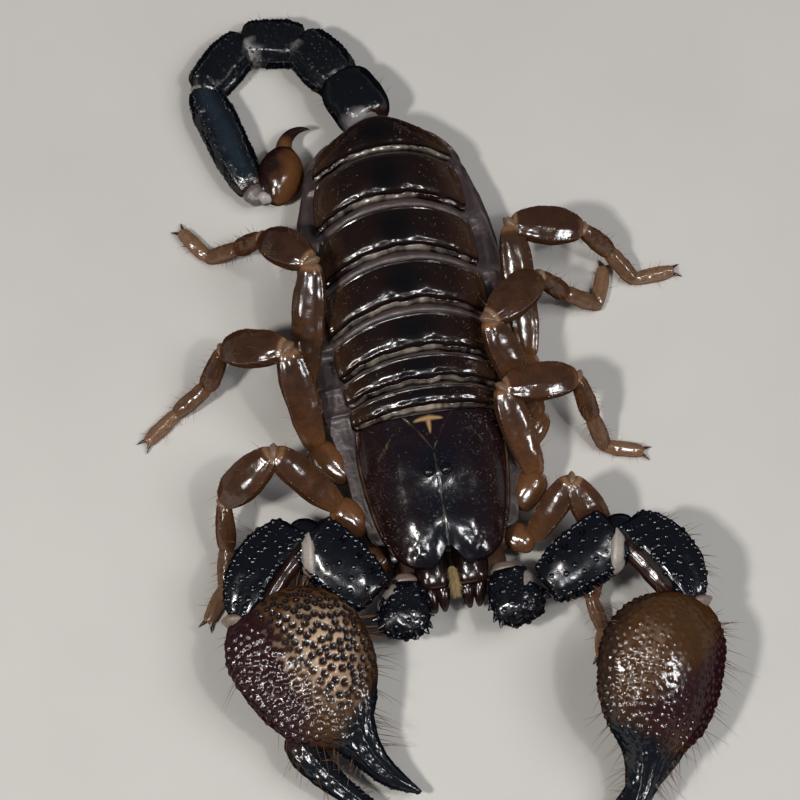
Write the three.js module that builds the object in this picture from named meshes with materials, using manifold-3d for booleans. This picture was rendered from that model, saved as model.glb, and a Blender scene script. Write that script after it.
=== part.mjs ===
// A large, broad-clawed scorpion at life size, in millimetres, +Z up. Its belly lies on the plane
// z = 0, its head points to -Y, and its tail curls along the ground to its own right, which is -X.
import * as THREE from "three";
import { mergeVertices } from "three/addons/utils/BufferGeometryUtils.js";
import Module from "manifold-3d";

const wasm = await Module();
wasm.setup();

// ---------------------------------------------------------------- driving sizes
const GAP = 0.3; // clearance between neighbouring pieces
const SHELL = 0.75; // thickness of the back and belly plates
const NECK = -9.9; // where the carapace ends and the first back plate begins
const CARAPACE_FRONT = -25.2;
const EYE = { y: -16.2, apart: 0.85, above: 0.25, radius: 0.6 };
const BODY_END = 22.5; // where the trunk ends and the tail begins
const RIGHT = -1; // the animal's own right side lies at -X
const LEFT = 1;

// Length of each back plate, and the strip of bare skin behind it.
const BACK_PLATES = [[2.5, 0.3], [2.9, 0.35], [4.0, 0.9], [4.7, 1.0], [4.8, 1.0], [5.0, 0.5], [4.3, 0]];
const BELLY_START = -3.2;
const BELLY_PLATES = 5;
const HIP_TOP = 3.3; // upper and lower faces of the hip block under the carapace
const HIP_BOTTOM = 0.7;
const BREAST = { width: 4.6, length: 19.6, middle: -13.6 }; // the plate between the leg bases

// Each leg pair: the joint between hip and thigh, and the lengths of the five segments beyond it.
const LEG_PAIRS = {
  1: { hip: [8.3, -23.2, 3.1], lengths: [8.2, 7.4, 6.2, 3.4, 2.6], girth: 0.85 },
  2: { hip: [9.9, -17.0, 3.8], lengths: [9.9, 7.9, 4.8, 4.2, 3.7], girth: 0.97 },
  3: { hip: [11.2, -10.8, 3.7], lengths: [11.5, 8.0, 4.8, 4.7, 4.0], girth: 1.0 },
  4: { hip: [11.4, -4.6, 3.5], lengths: [13.6, 7.5, 4.6, 4.3, 4.0], girth: 1.0 },
};
// The pose of each leg: compass bearings of its five segments in degrees (0 is +X, 90 is +Y),
// and the slopes of the first three. The fourth runs down to the ground and the last lies on it.
const LEG_POSES = {
  left_1: { bearings: [42, -63, -111, -76, -105], slopes: [42, -41, -15] },
  left_2: { bearings: [105, 3, -71, -66, -17], slopes: [33, -14, -46] },
  left_3: { bearings: [113, 37, -16, -15, 71], slopes: [35, -20, -57] },
  left_4: { bearings: [89, -9, -29, -50, 4], slopes: [20, -13, -50] },
  right_1: { bearings: [-135, 180, -50, -40, -30], slopes: [-8, -5, -5] },
  right_2: { bearings: [139, -152, -96, -103, -124], slopes: [42, -36, -41] },
  right_3: { bearings: [99, 160, -132, -157, -143], slopes: [41, -33, -50] },
  right_4: { bearings: [77, 133, 162, 174, 126], slopes: [34, -31, -58] },
};
const FOOT_HEIGHT = 0.6; // centre line of the last leg segment above the ground
const CLAW = { splay: 26, sunk: 0.8, reach: 1.15, height: 0.35 };

// Tail joints from the trunk to the sting: each segment's length, bearing, slope, width and depth.
const TAIL_ROOT = new THREE.Vector3(-0.3, 23.0, 4.6);
const TAIL = [
  { length: 5.8, bearing: 113, slope: -11, size: [5.9, 5.0] },
  { length: 6.2, bearing: 123, slope: -10, size: [5.2, 4.8] },
  { length: 6.0, bearing: 168, slope: -2, size: [4.8, 4.5] },
  { length: 6.9, bearing: -138, slope: -1, size: [4.5, 4.2] },
  { length: 12.0, bearing: -74, slope: 0, size: [4.1, 4.1] },
];

const BULB = { offset: [2.35, -2.15, 0], length: 6.5, bearing: 73 };
const STING = { length: 4.4, startBearing: 92, endBearing: -22, thick: 0.9, sunk: 0.7 };

// Pincer arms: joints between hip knob, upper arm, forearm and pincer, in the animal's own frame.
// The forearm starts at its heel, a little beyond the elbow.
const ARMS = {
  right: {
    side: RIGHT,
    knob: [-5.6, -28.2, 4.7],
    shoulder: [-7.9, -26.9, 5.8],
    elbow: [-13.5, -20.0, 6.7],
    heel: [-14.3, -19.3, 6.7],
    wrist: [-21.4, -27.4, 6.9],
    pincer: { bearing: -55.6, slope: -11, roll: 0, closing: 3, hinge: { inside: -3.8, rise: -0.5 } },
  },
  left: {
    side: LEFT,
    knob: [5.9, -28.6, 4.7],
    shoulder: [8.7, -28.6, 5.8],
    elbow: [16.5, -24.5, 6.7],
    heel: [17.4, -23.9, 6.7],
    wrist: [22.6, -32.9, 7.0],
    pincer: { bearing: -116, slope: -9, roll: 36, closing: 22, hinge: { inside: -2.8, rise: -1.1 } },
  },
};
const FINGER_LENGTH = 14;

// ---------------------------------------------------------------- small tools
const DEG = Math.PI / 180;
const UP = new THREE.Vector3(0, 0, 1);

// A function that runs straight between [place, value] stations.
function through(stations) {
  return (at) => {
    const next = stations.findIndex(([place]) => place > at);
    if (next === 0) return stations[0][1];
    if (next < 0) return stations[stations.length - 1][1];
    const [a, from] = stations[next - 1];
    const [b, to] = stations[next];
    return THREE.MathUtils.lerp(from, to, (at - a) / (b - a));
  };
}

// The same for values spaced evenly from 0 to 1.
function spread(values) {
  return through(values.map((value, i) => [i / (values.length - 1), value]));
}

function heading(bearing, slope) {
  const flat = Math.cos(slope * DEG);
  const x = flat * Math.cos(bearing * DEG);
  const y = flat * Math.sin(bearing * DEG);
  return new THREE.Vector3(x, y, Math.sin(slope * DEG));
}

function step(from, bearing, slope, length) {
  return from.clone().addScaledVector(heading(bearing, slope), length);
}

// Moves every vertex of a geometry to place(x, y, z).
function shape(geometry, place) {
  const position = geometry.getAttribute("position");
  for (let i = 0; i < position.count; i += 1) {
    const point = place(position.getX(i), position.getY(i), position.getZ(i));
    position.setXYZ(i, point.x, point.y, Math.max(point.z, 0));
  }
  return geometry;
}

// A closed solid from a geometry, with its faces pointing out.
function solid(geometry) {
  const bare = geometry.clone();
  bare.deleteAttribute("normal");
  bare.deleteAttribute("uv");
  const merged = mergeVertices(bare, 1e-4);
  const made = (triVerts) => {
    const mesh = { numProp: 3, vertProperties: merged.attributes.position.array, triVerts };
    return new wasm.Manifold(new wasm.Mesh(mesh));
  };
  const corners = new Uint32Array(merged.index.array);
  const first = made(corners);
  return first.volume() > 0 ? first : made(corners.reverse());
}

function join(solids) {
  return solids.reduce((whole, piece) => whole.add(piece));
}

// Cuts neighbours out of a solid and keeps its largest body.
function trim(piece, neighbours) {
  const left = neighbours.reduce((rest, other) => rest.subtract(other), piece);
  return left.decompose().sort((a, b) => b.volume() - a.volume())[0];
}

// A closed body: a lathe of unit radius whose point (c, s) at station t is put in place by ring.
function sweep(sides, rows, ring) {
  const profile = [];
  for (let row = 0; row <= rows; row += 1) {
    const t = (1 - Math.cos((Math.PI * row) / rows)) / 2;
    profile.push(new THREE.Vector2(row % rows === 0 ? 0 : 1, t));
  }
  const lathe = new THREE.LatheGeometry(profile, sides, Math.PI / sides);
  return solid(shape(lathe, (c, t, s) => ring(t, c, s)));
}

// How full a blunt-ended body is at station t.
function fullness(t, bluntness) {
  return (1 - Math.abs(2 * t - 1) ** bluntness) ** (1 / bluntness);
}

// A tapered segment from one joint to the next. wide and tall list its full sizes along the way,
// lap is how far it runs on past each joint, arch lifts its middle and sway shifts it sideways.
function segment(options) {
  const { wide, tall, arch = 0, sway = 0, sides = 8, rows = 5, blunt = 3.5, grow = 0, lap = 0 } = options;
  const lead = options.to.clone().sub(options.from).setLength(lap);
  const from = options.from.clone().sub(lead);
  const to = options.to.clone().add(lead);
  const axis = to.clone().sub(from);
  const length = axis.length();
  axis.normalize();
  const across = axis.clone().cross(UP).normalize();
  const over = across.clone().cross(axis);
  const width = spread(wide);
  const height = spread(tall);
  return sweep(sides, rows, (t, c, s) => {
    const full = fullness(t, blunt);
    const hump = 4 * t * (1 - t);
    const side = (width(t) / 2 + grow) * full * c + sway * hump;
    const rise = (height(t) / 2 + grow) * full * s + arch * hump;
    const point = from.clone().addScaledVector(axis, t * length + (2 * t - 1) * grow);
    return point.addScaledVector(across, side).addScaledVector(over, rise);
  });
}

const scorpion = new THREE.Group();

function finish(colour, roughness) {
  return { color: colour, roughness, metalness: 0 };
}

const FINISH = {
  shell: finish(0x1b1012, 0.22),
  plate: finish(0x24130f, 0.25),
  eye: finish(0x050505, 0.08),
  skin: finish(0x6d5f6b, 0.55),
  belly: finish(0x4a3326, 0.4),
  leg: finish(0x7a5236, 0.28),
  arm: finish(0x151a24, 0.25),
  pincer: finish(0x5a3426, 0.3),
  finger: finish(0x161c26, 0.25),
  tail: finish(0x12151c, 0.25),
  sting: finish(0x8a4a20, 0.25),
  thorn: finish(0x1c0f0c, 0.2),
};

// Turns a solid into a named mesh of the group.
function add(name, piece, look) {
  const { vertProperties, triVerts } = piece.getMesh();
  const geometry = new THREE.BufferGeometry();
  geometry.setAttribute("position", new THREE.BufferAttribute(vertProperties, 3));
  geometry.setIndex(new THREE.BufferAttribute(triVerts, 1));
  geometry.computeVertexNormals();
  const mesh = new THREE.Mesh(geometry, new THREE.MeshStandardMaterial(FINISH[look]));
  mesh.name = name;
  scorpion.add(mesh);
}

// ---------------------------------------------------------------- the back: carapace and plates
const plateHalf = through([
  [CARAPACE_FRONT, 5.3], [-23, 5.95], [-19, 6.9], [-14, 7.5], [-9, 7.5],
  [-2, 8.15], [8, 7.95], [15, 7.5], [18.4, 6.9], [BODY_END, 3.3],
]);
const crest = through([
  [CARAPACE_FRONT, 6.3], [-22, 7.6], [-17, 8.7], [-10, 8.9], [0, 9.4], [10, 9.3], [17, 8.7], [BODY_END, 7.1],
]);
const hem = through([[CARAPACE_FRONT, 5.2], [-10, 5.7], [-4, 6.2], [12, 6.1], [18, 5.5], [BODY_END, 5.2]]);

// Height of the back at a place, level beyond the hem of the plates.
function backHeight(x, y) {
  const out = Math.min(1, Math.abs(x) / plateHalf(y));
  return hem(y) + (crest(y) - hem(y)) * (1 - out ** 2.6);
}

// A curved plate of the back between two edges, each given as y across u = -1 to 1.
function backPlate({ front, rear, grow = 0, above = 0, columns = 8, rows = 2, relief = () => 0 }) {
  const box = new THREE.BoxGeometry(2, 1, 1, columns, rows, 1);
  return solid(shape(box, (u, v, w) => {
    const along = v + 0.5;
    const y = THREE.MathUtils.lerp(front(u), rear(u), along);
    const half = plateHalf(y) * (1 - 0.05 * (2 * v) ** 4);
    const x = u * half;
    const rim = grow * u ** 9;
    const drop = w < 0 ? -SHELL - grow - Math.abs(rim) : above;
    const z = backHeight(x, y) + relief(x, y, along) + drop;
    return new THREE.Vector3(x + rim, y + 2 * v * grow, z);
  }));
}

// The two frontal lobes, with a notch between them and rounded corners.
function carapaceFront(u) {
  const notch = 1.3 * Math.exp(-((u * 6) ** 2));
  return CARAPACE_FRONT + notch + 2.4 * u ** 6;
}

function carapaceRelief(x, y) {
  const furrow = -0.45 * Math.exp(-((x / 0.9) ** 2)) * THREE.MathUtils.smoothstep(-y, 17.5, 22);
  const eyeMound = 0.5 * Math.exp(-((x / 1.5) ** 2) - ((y - EYE.y) / 1.4) ** 2);
  return furrow + eyeMound;
}

const CARAPACE = { front: carapaceFront, rear: () => NECK - GAP, columns: 10, rows: 5 };

// Back plates bow towards the tail in the middle, the first hardly at all.
const bow = through([[NECK, 0.2], [-4, 1.3], [BODY_END, 1.4]]);
const tergites = [];
let plateStart = NECK;
for (const [length, bare] of BACK_PLATES) {
  const start = plateStart;
  const end = start + length;
  tergites.push({
    front: (u) => start - bow(start) * u * u,
    rear: (u) => end - bow(end) * u * u,
    relief: (x, y, along) => 0.15 * Math.sin(Math.PI * along),
  });
  plateStart = end + bare;
}

// ---------------------------------------------------------------- the belly
const bellyHalf = through([[-4, 7.2], [0, 7.6], [12, 7.6], [18, 6.2], [BODY_END, 2.9]]);
const bellyLift = through([[15, 0], [18, 0.4], [BODY_END, 2.0]]);

// Height of the underside: flat along the middle, curling up towards both sides.
function bellyHeight(x, y) {
  const out = Math.abs(x) / bellyHalf(y);
  return bellyLift(y) + 6.9 * Math.max(0, out - 0.6) ** 2;
}

function bellyPlate(front, rear) {
  const box = new THREE.BoxGeometry(2, 1, 1, 6, 1, 1);
  return solid(shape(box, (u, v, w) => {
    const y = THREE.MathUtils.lerp(front, rear, v + 0.5);
    const x = u * bellyHalf(y);
    return new THREE.Vector3(x, y, bellyHeight(x, y) + (w < 0 ? 0 : SHELL));
  }));
}

const bellyStep = (BODY_END - BELLY_START) / BELLY_PLATES;
const sternites = [];
for (let i = 0; i < BELLY_PLATES; i += 1) {
  const front = BELLY_START + i * bellyStep;
  sternites.push([front, front + bellyStep - GAP]);
}

// ---------------------------------------------------------------- the soft trunk between the plates
const TRUNK_FRONT = -21.8;
const fleshHalf = through([
  [TRUNK_FRONT, 6.0], [-18.6, 7.9], [-13, 8.9], [-8, 9.8], [-2.6, 10.4],
  [6, 10.5], [10, 10.1], [13.4, 9.4], [19.5, 6.6], [BODY_END, 3.4],
]);
const waist = through([[-22, 3.9], [-12, 4.3], [0, 4.2], [14, 4.3], [BODY_END, 4.2]]);

// Rings of the trunk: how far each lies below the back. It runs close under the plates and
// rises as a fold of skin in each wider strip between two of them.
const UNDER = SHELL + GAP;
const FOLD = 0.35;
const trunkRings = [[TRUNK_FRONT + 0.5, 2 * UNDER], [-18.5, UNDER + 0.4], [-14.5, UNDER]];
let plateEdge = NECK;
for (const [length, bare] of BACK_PLATES) {
  trunkRings.push([plateEdge, UNDER]);
  if (length > 3) trunkRings.push([plateEdge + length / 2, UNDER]);
  plateEdge += length;
  if (bare > 0.6) trunkRings.push([plateEdge, UNDER], [plateEdge + bare / 2, FOLD]);
  plateEdge += bare;
}
trunkRings.push([BODY_END - 1.2, UNDER]);

function trunkPoint([y, under], c, s) {
  const edge = plateHalf(y);
  const half = Math.max(fleshHalf(y), edge + 3 * GAP);
  const across = through([[0.2, 0.36 * edge], [0.56, 0.72 * edge], [0.83, edge + GAP], [0.98, half]]);
  const x = Math.sign(c) * across(Math.abs(c));
  const bowed = y - bow(y) * Math.min(1, Math.abs(x) / edge) ** 2;
  const side = waist(y);
  if (Math.abs(x) > edge + GAP * 1.5) return new THREE.Vector3(x, bowed, side + Math.sign(s) * 0.25);
  if (s > 0) return new THREE.Vector3(x, bowed, Math.max(side + 0.3, backHeight(x, y) - under));
  const overHips = y < BELLY_START - GAP;
  const floor = overHips ? HIP_TOP + GAP : bellyHeight(x, y) + SHELL + GAP;
  return new THREE.Vector3(x, y, Math.min(floor + 0.2, side - 0.05));
}

function trunk() {
  const last = trunkRings.length - 1;
  const profile = [new THREE.Vector2(0, 0)];
  trunkRings.forEach((_, i) => profile.push(new THREE.Vector2(1, i)));
  profile.push(new THREE.Vector2(0, last));
  const sides = 16;
  const lathe = new THREE.LatheGeometry(profile, sides, Math.PI / sides);
  return solid(shape(lathe, (c, i, s) => {
    const ring = trunkRings[Math.round(i)];
    const [y] = ring;
    if (Math.hypot(c, s) < 0.5) return new THREE.Vector3(0, y, waist(y) + 0.2);
    return trunkPoint(ring, c, s);
  }));
}

// ---------------------------------------------------------------- tail
const tailJoints = [TAIL_ROOT];
for (const { length, bearing, slope } of TAIL) {
  tailJoints.push(step(tailJoints[tailJoints.length - 1], bearing, slope, length));
}

// A tail ring: eight flats between keels, waisted towards both ends.
function tailRing(index, grow = 0) {
  const [wide, tall] = TAIL[index].size;
  const long = index === 4;
  const taper = long ? [0.86, 1, 1, 0.95, 0.76] : [0.8, 1, 0.98, 0.88];
  return segment({
    from: tailJoints[index],
    to: tailJoints[index + 1],
    wide: taper.map((share) => share * wide),
    tall: taper.map((share) => share * tall),
    rows: long ? 8 : 6,
    blunt: long ? 7 : 5,
    grow,
  });
}

const bulbFrom = tailJoints[5].clone().add(new THREE.Vector3(...BULB.offset));
const bulbTo = step(bulbFrom, BULB.bearing, 0, BULB.length);

// The poison bulb, with the neck that turns in the socket at the end of the tail.
function bulb(grow = 0) {
  const body = segment({
    from: bulbFrom,
    to: bulbTo,
    wide: [3.2, 4.5, 4.6, 3.2],
    tall: [3.2, 4.2, 4.3, 3.0],
    sides: 10,
    rows: 6,
    blunt: 2.4,
    grow,
  });
  const neck = segment({
    from: tailJoints[5],
    to: step(bulbFrom, BULB.bearing, 0, 2),
    wide: [1.8, 2.0, 2.4],
    tall: [1.8, 2.0, 2.4],
    sides: 6,
    rows: 3,
    grow,
  });
  return body.add(neck);
}

// The sting: a thorn that leaves the bulb and bends along an arc to its tip.
function thorn() {
  const root = step(bulbTo, BULB.bearing, 0, -STING.sunk);
  const turn = STING.endBearing - STING.startBearing;
  const arc = STING.length / (turn * DEG);
  return sweep(6, 7, (t, c, s) => {
    const bearing = STING.startBearing + turn * t;
    const radius = STING.thick * (1 - t) ** 0.6 * Math.min(1, 5 * t + 0.5) + 0.12;
    const out = heading(bearing - 90, 0);
    const centre = root.clone()
      .addScaledVector(heading(STING.startBearing - 90, 0), -arc)
      .addScaledVector(out, arc);
    return centre.addScaledVector(out, radius * c).addScaledVector(UP, radius * s);
  });
}

// ---------------------------------------------------------------- legs
function legJoints(name) {
  const [side, pair] = name.split("_");
  const { hip, lengths } = LEG_PAIRS[pair];
  const { bearings, slopes } = LEG_POSES[name];
  const sign = side === "left" ? LEFT : RIGHT;
  const joints = [new THREE.Vector3(sign * hip[0], hip[1], hip[2])];
  lengths.forEach((length, i) => {
    const last = joints[joints.length - 1];
    const drop = Math.max(-1, Math.min(0, (FOOT_HEIGHT - last.z) / length));
    const slope = i < 3 ? slopes[i] : Math.asin(drop) / DEG;
    joints.push(step(last, bearings[i], slope, length));
  });
  return joints;
}

const coxaEnds = { 1: [6.4, -22.2, 3.0], 2: [7.8, -19.2, 3.0], 3: [8.6, -13.6, 3.0], 4: [8.6, -7.4, 3.0] };

function legParts(name, grow = 0) {
  const [side, pair] = name.split("_");
  const { girth } = LEG_PAIRS[pair];
  const sign = side === "left" ? LEFT : RIGHT;
  const joints = legJoints(name);
  const [x, y, z] = coxaEnds[pair];
  const root = new THREE.Vector3(sign * x, y, z);
  const scaled = (sizes) => sizes.map((size) => size * girth);
  const hipKnob = segment({
    from: root, to: joints[0], wide: scaled([3.0, 3.8, 3.5]), tall: scaled([2.4, 2.8, 2.6]),
    sides: 6, rows: 4, lap: 0.4, grow,
  });
  const thigh = segment({
    from: joints[0], to: joints[1], wide: scaled([2.4, 3.1, 3.4, 2.8]), tall: scaled([2.0, 2.5, 2.6, 2.4]),
    sides: 6, rows: 5, blunt: 4, grow,
  });
  const knee = segment({
    from: joints[1], to: joints[2], wide: scaled([2.2, 3.7, 3.9, 2.4]), tall: scaled([2.1, 2.6, 2.6, 1.9]),
    arch: 0.3, rows: 6, grow,
  });
  const shin = segment({
    from: joints[2], to: joints[3], wide: scaled([1.5, 2.0, 2.2]), tall: scaled([1.6, 1.9, 1.9]),
    sides: 6, blunt: 4, rows: 3, lap: 0.35, grow,
  });
  const ankle = segment({
    from: joints[3], to: joints[4], wide: scaled([1.7, 1.75, 1.6]), tall: scaled([1.5, 1.5, 1.4]),
    sides: 6, blunt: 4, rows: 3, lap: 0.35, grow,
  });
  const foot = segment({
    from: joints[4], to: joints[5], wide: scaled([1.3, 1.6, 1.35]), tall: [1.3, 1.35, 1.3],
    sides: 6, blunt: 5, rows: 4, lap: 0.2, grow,
  });
  return { hipKnob, thigh, knee, shin, ankle, foot, joints };
}

// Two short curved claws at the tip of a foot.
function claws(joints) {
  const tip = joints[5];
  const ahead = tip.clone().sub(joints[4]).setZ(0).normalize();
  const bearing = Math.atan2(ahead.y, ahead.x) / DEG;
  return [-CLAW.splay, CLAW.splay].map((splay) => segment({
    from: step(tip, bearing, 0, -CLAW.sunk),
    to: step(tip, bearing + splay, 0, CLAW.reach).setZ(CLAW.height),
    wide: [0.7, 0.6, 0.5], tall: [0.9, 0.8, 0.6], sides: 4, rows: 2, blunt: 3,
  }));
}

// ---------------------------------------------------------------- pincer arms
const vector = (list) => new THREE.Vector3(...list);

function armParts(arm, grow = 0) {
  const { side, knob, shoulder, elbow, heel, wrist } = arm;
  const centre = vector(knob);
  const hipKnob = segment({
    from: centre.clone().add(new THREE.Vector3(-side * 0.9, 2.6, -0.5)),
    to: centre.clone().add(new THREE.Vector3(side * 0.3, -2.9, 0.1)),
    wide: [3.6, 4.9, 4.6], tall: [3.6, 4.4, 3.8], blunt: 2.6, sides: 8, rows: 5, grow,
  });
  const upper = segment({
    from: vector(shoulder), to: vector(elbow),
    wide: [4.6, 5.6, 6.1, 5.8], tall: [3.4, 4.2, 4.4, 4.0], blunt: 6, sides: 8, rows: 6, grow,
  });
  const lower = segment({
    from: vector(heel), to: vector(wrist),
    wide: [5.2, 6.0, 5.8, 4.0], tall: [3.8, 4.7, 4.6, 3.6], blunt: 4.5, sides: 8, rows: 6,
    sway: -side * 0.9, grow,
  });
  return { hipKnob, upper, lower };
}

// The palm of the pincer in its own frame: t runs from wrist to fingers, in millimetres, and the
// width to its inner and outer edge is measured from the line that leaves the wrist.
const PALM = { from: -0.5, to: 16.2 };
const palmInner = through([
  [-0.5, 5.9], [1.5, 7.8], [4.5, 9.0], [7, 9.1], [9.4, 8.6], [12, 7.4], [14.2, 5.6], [16.2, 3.8],
]);
const palmOuter = through([
  [-0.5, 3.4], [2.3, 4.3], [5, 4.5], [8, 4.7], [11.4, 4.5], [13.4, 3.3], [16.2, 1.4],
]);
const palmRise = through([[-0.5, 2.6], [2.5, 3.9], [7.5, 4.4], [11.5, 3.9], [16.2, 2.3]]);
const FINGER = { from: 13.4, to: 24.2 };
const fingerLine = through([[13.4, 1.8], [16, 0.5], [19, 0.4], [22, 0.9], [24.2, 1.8]]);
const fingerHalf = through([[13.4, 2.5], [16, 1.95], [19, 1.4], [22, 1.0], [24.2, 0.45]]);

// Places a point given along, inward and up from the wrist.
function pincerFrame(arm) {
  const { side, wrist, pincer } = arm;
  const axis = heading(pincer.bearing, pincer.slope);
  const flat = axis.clone().cross(UP).normalize().multiplyScalar(side);
  const inward = flat.applyAxisAngle(axis, -side * pincer.roll * DEG);
  const over = inward.clone().cross(axis).multiplyScalar(side);
  return (along, inside, rise) => vector(wrist)
    .addScaledVector(axis, along)
    .addScaledVector(inward, inside)
    .addScaledVector(over, rise);
}

function palm(arm, grow = 0) {
  const place = pincerFrame(arm);
  const hand = sweep(12, 8, (t, c, s) => {
    const along = THREE.MathUtils.lerp(PALM.from - grow, PALM.to + grow, t);
    const full = fullness(t, 3);
    const inner = palmInner(along) + grow;
    const outer = palmOuter(along) + grow;
    const middle = (inner - outer) / 2;
    const inside = middle + ((inner + outer) / 2) * full * c;
    return place(along, inside, (palmRise(along) * (s < 0 ? 0.72 : 1) + grow) * full * s);
  });
  const finger = sweep(6, 6, (t, c, s) => {
    const along = THREE.MathUtils.lerp(FINGER.from - grow, FINGER.to + grow, t);
    const full = fullness(t, 3);
    const half = (fingerHalf(along) + grow) * full;
    return place(along, fingerLine(along) + half * c, half * 1.15 * s - 0.2);
  });
  return hand.add(finger);
}

// The moving finger hinges at the outer corner of the palm and curves in towards its tip.
const HINGE_ALONG = 11.4;
const TIP_RISE = -0.3;

function movingFinger(arm) {
  const place = pincerFrame(arm);
  const { closing, hinge } = arm.pincer;
  const turn = closing * DEG;
  const half = spread([1.9, 1.85, 1.5, 1.2, 1.0, 0.75, 0.4]);
  const sway = spread([0, -0.2, -0.3, -0.2, 0.15, 0.8, 1.6]);
  return sweep(6, 7, (t, c, s) => {
    const out = t * FINGER_LENGTH;
    const full = fullness(t, 3);
    const inside = sway(t) + half(t) * full * c;
    const along = HINGE_ALONG + out * Math.cos(turn) - inside * Math.sin(turn);
    const shift = hinge.inside + out * Math.sin(turn) + inside * Math.cos(turn);
    const rise = THREE.MathUtils.lerp(hinge.rise, TIP_RISE, t);
    return place(along, shift, half(t) * 1.15 * full * s + rise);
  });
}

// ---------------------------------------------------------------- jaws and hips
function jaw(side) {
  const base = segment({
    from: new THREE.Vector3(side * 1.9, -21.9, 4.5),
    to: new THREE.Vector3(side * 1.95, -26.9, 4.2),
    wide: [2.8, 3.3, 3.4, 3.0], tall: [2.6, 3.1, 3.1, 2.6], blunt: 5, rows: 4, sides: 8,
  });
  const fingers = [-0.75, 0.75].map((offset) => segment({
    from: new THREE.Vector3(side * (1.9 + offset), -26.0, 4.0),
    to: new THREE.Vector3(side * (1.7 + offset * 0.6), -28.9, 3.0),
    wide: [1.6, 1.3, 0.6], tall: [1.8, 1.4, 0.7], sides: 6, rows: 3,
  }));
  return join([base, ...fingers]);
}

const coxaRoots = { 1: [1.6, -21.4, 1.9], 2: [1.6, -18.6, 1.8], 3: [1.5, -14.6, 1.8], 4: [1.5, -11.4, 1.8] };

function hips() {
  const bone = new THREE.BoxGeometry(BREAST.width, BREAST.length, HIP_TOP - HIP_BOTTOM);
  const pieces = [solid(bone.translate(0, BREAST.middle, (HIP_TOP + HIP_BOTTOM) / 2))];
  for (const side of [RIGHT, LEFT]) {
    for (const pair of [1, 2, 3, 4]) {
      const [rx, ry, rz] = coxaRoots[pair];
      const [ex, ey, ez] = coxaEnds[pair];
      pieces.push(segment({
        from: new THREE.Vector3(side * rx, ry, rz),
        to: new THREE.Vector3(side * ex, ey, ez - 0.5),
        wide: [2.4, 3.4, 3.4], tall: [2.2, 2.4, 2.2], sides: 6, rows: 3, blunt: 4,
      }));
    }
    pieces.push(segment({
      from: new THREE.Vector3(side * 2.4, -20.8, 2.2),
      to: new THREE.Vector3(side * 4.4, -26.4, 2.6),
      wide: [3.2, 4.2, 3.0], tall: [2.4, 2.6, 2.4], sides: 6, rows: 3,
    }));
    pieces.push(segment({
      from: new THREE.Vector3(side * 0.6, -4.6, 1.1),
      to: new THREE.Vector3(side * 6.6, -4.2, 1.1),
      wide: [1.6, 1.5, 0.8], tall: [0.7, 0.7, 0.6], sides: 6, rows: 3,
    }));
  }
  return join(pieces);
}

// ---------------------------------------------------------------- assembly
// One of the two middle eyes, which sit in sockets on their mound.
function eye(side, grow = 0) {
  const ball = new THREE.SphereGeometry(EYE.radius + grow, 7, 5);
  return solid(ball.translate(side * EYE.apart, EYE.y, backHeight(EYE.apart, EYE.y) + EYE.above));
}

const carapace = trim(backPlate(CARAPACE), [eye(RIGHT, GAP), eye(LEFT, GAP)]);
const carapaceCut = backPlate({ ...CARAPACE, grow: GAP, above: 3 });
const hipBlock = hips();
const hipCut = join([-1, 0, 1].map((shift) => hipBlock.translate([0, 0, shift * GAP])));

add("carapace", carapace, "shell");
tergites.forEach((plate, i) => add(`tergite_${i + 1}`, backPlate(plate), "plate"));
sternites.forEach(([front, rear], i) => add(`sternite_${i + 3}`, bellyPlate(front, rear), "belly"));
const body = trunk();
add("trunk_skin", body, "skin");
add("hips_and_combs", hipBlock, "belly");

for (const [side, name] of [[RIGHT, "right"], [LEFT, "left"]]) {
  add(`median_eye_${name}`, eye(side), "eye");
  add(`chelicera_${name}`, trim(jaw(side), [carapaceCut, hipCut, body]), "shell");
}

TAIL.forEach((_, i) => {
  const next = i < 4 ? tailRing(i + 1, GAP) : bulb(GAP);
  add(`metasoma_${i + 1}`, trim(tailRing(i), [next]), "tail");
});
add("vesicle", bulb(), "sting");
add("aculeus", trim(thorn(), [bulb(GAP)]), "thorn");

for (const name of Object.keys(LEG_POSES)) {
  const slim = legParts(name);
  const fat = legParts(name, GAP);
  const [side] = name.split("_");
  const overhead = name.endsWith("1") ? armParts(ARMS[side], GAP) : null;
  const above = overhead ? [overhead.upper, overhead.hipKnob] : [];
  const thigh = trim(join([slim.hipKnob, slim.thigh]), [fat.knee, hipCut, body, ...above]);
  const shank = join([slim.shin, slim.ankle, slim.foot, ...claws(slim.joints)]);
  add(`leg_${name}_thigh`, thigh, "leg");
  add(`leg_${name}_knee`, trim(slim.knee, [fat.shin, ...above]), "leg");
  add(`leg_${name}_foot`, shank, "leg");
}

for (const [name, arm] of Object.entries(ARMS)) {
  const slim = armParts(arm);
  const fat = armParts(arm, GAP);
  const hand = palm(arm);
  const finger = movingFinger(arm);
  add(`arm_${name}_knob`, trim(slim.hipKnob, [fat.upper, hipCut, carapaceCut]), "arm");
  add(`arm_${name}_upper`, trim(slim.upper, [fat.lower, palm(arm, GAP)]), "arm");
  add(`arm_${name}_fore`, trim(slim.lower, [palm(arm, GAP)]), "arm");
  add(`pincer_${name}_palm`, hand, "pincer");
  add(`pincer_${name}_finger`, trim(finger, [palm(arm, GAP)]), "finger");
}

export default scorpion;
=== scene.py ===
"""A large scorpion at life size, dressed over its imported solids.

Lengths in this script are millimetres in the frame of the part, +Z up and the head towards -Y.
They turn into metres where a mesh, a light or the camera is made.
On a form, t runs along it from 0 to 1, and c and s are the cosine and sine of the angle around it.
On a plate, u runs across from -1 to 1, and v from 0 at its front to 1 at its rear.
"""
import math

import bpy
import numpy as np
from mathutils import Matrix, Vector


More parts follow.
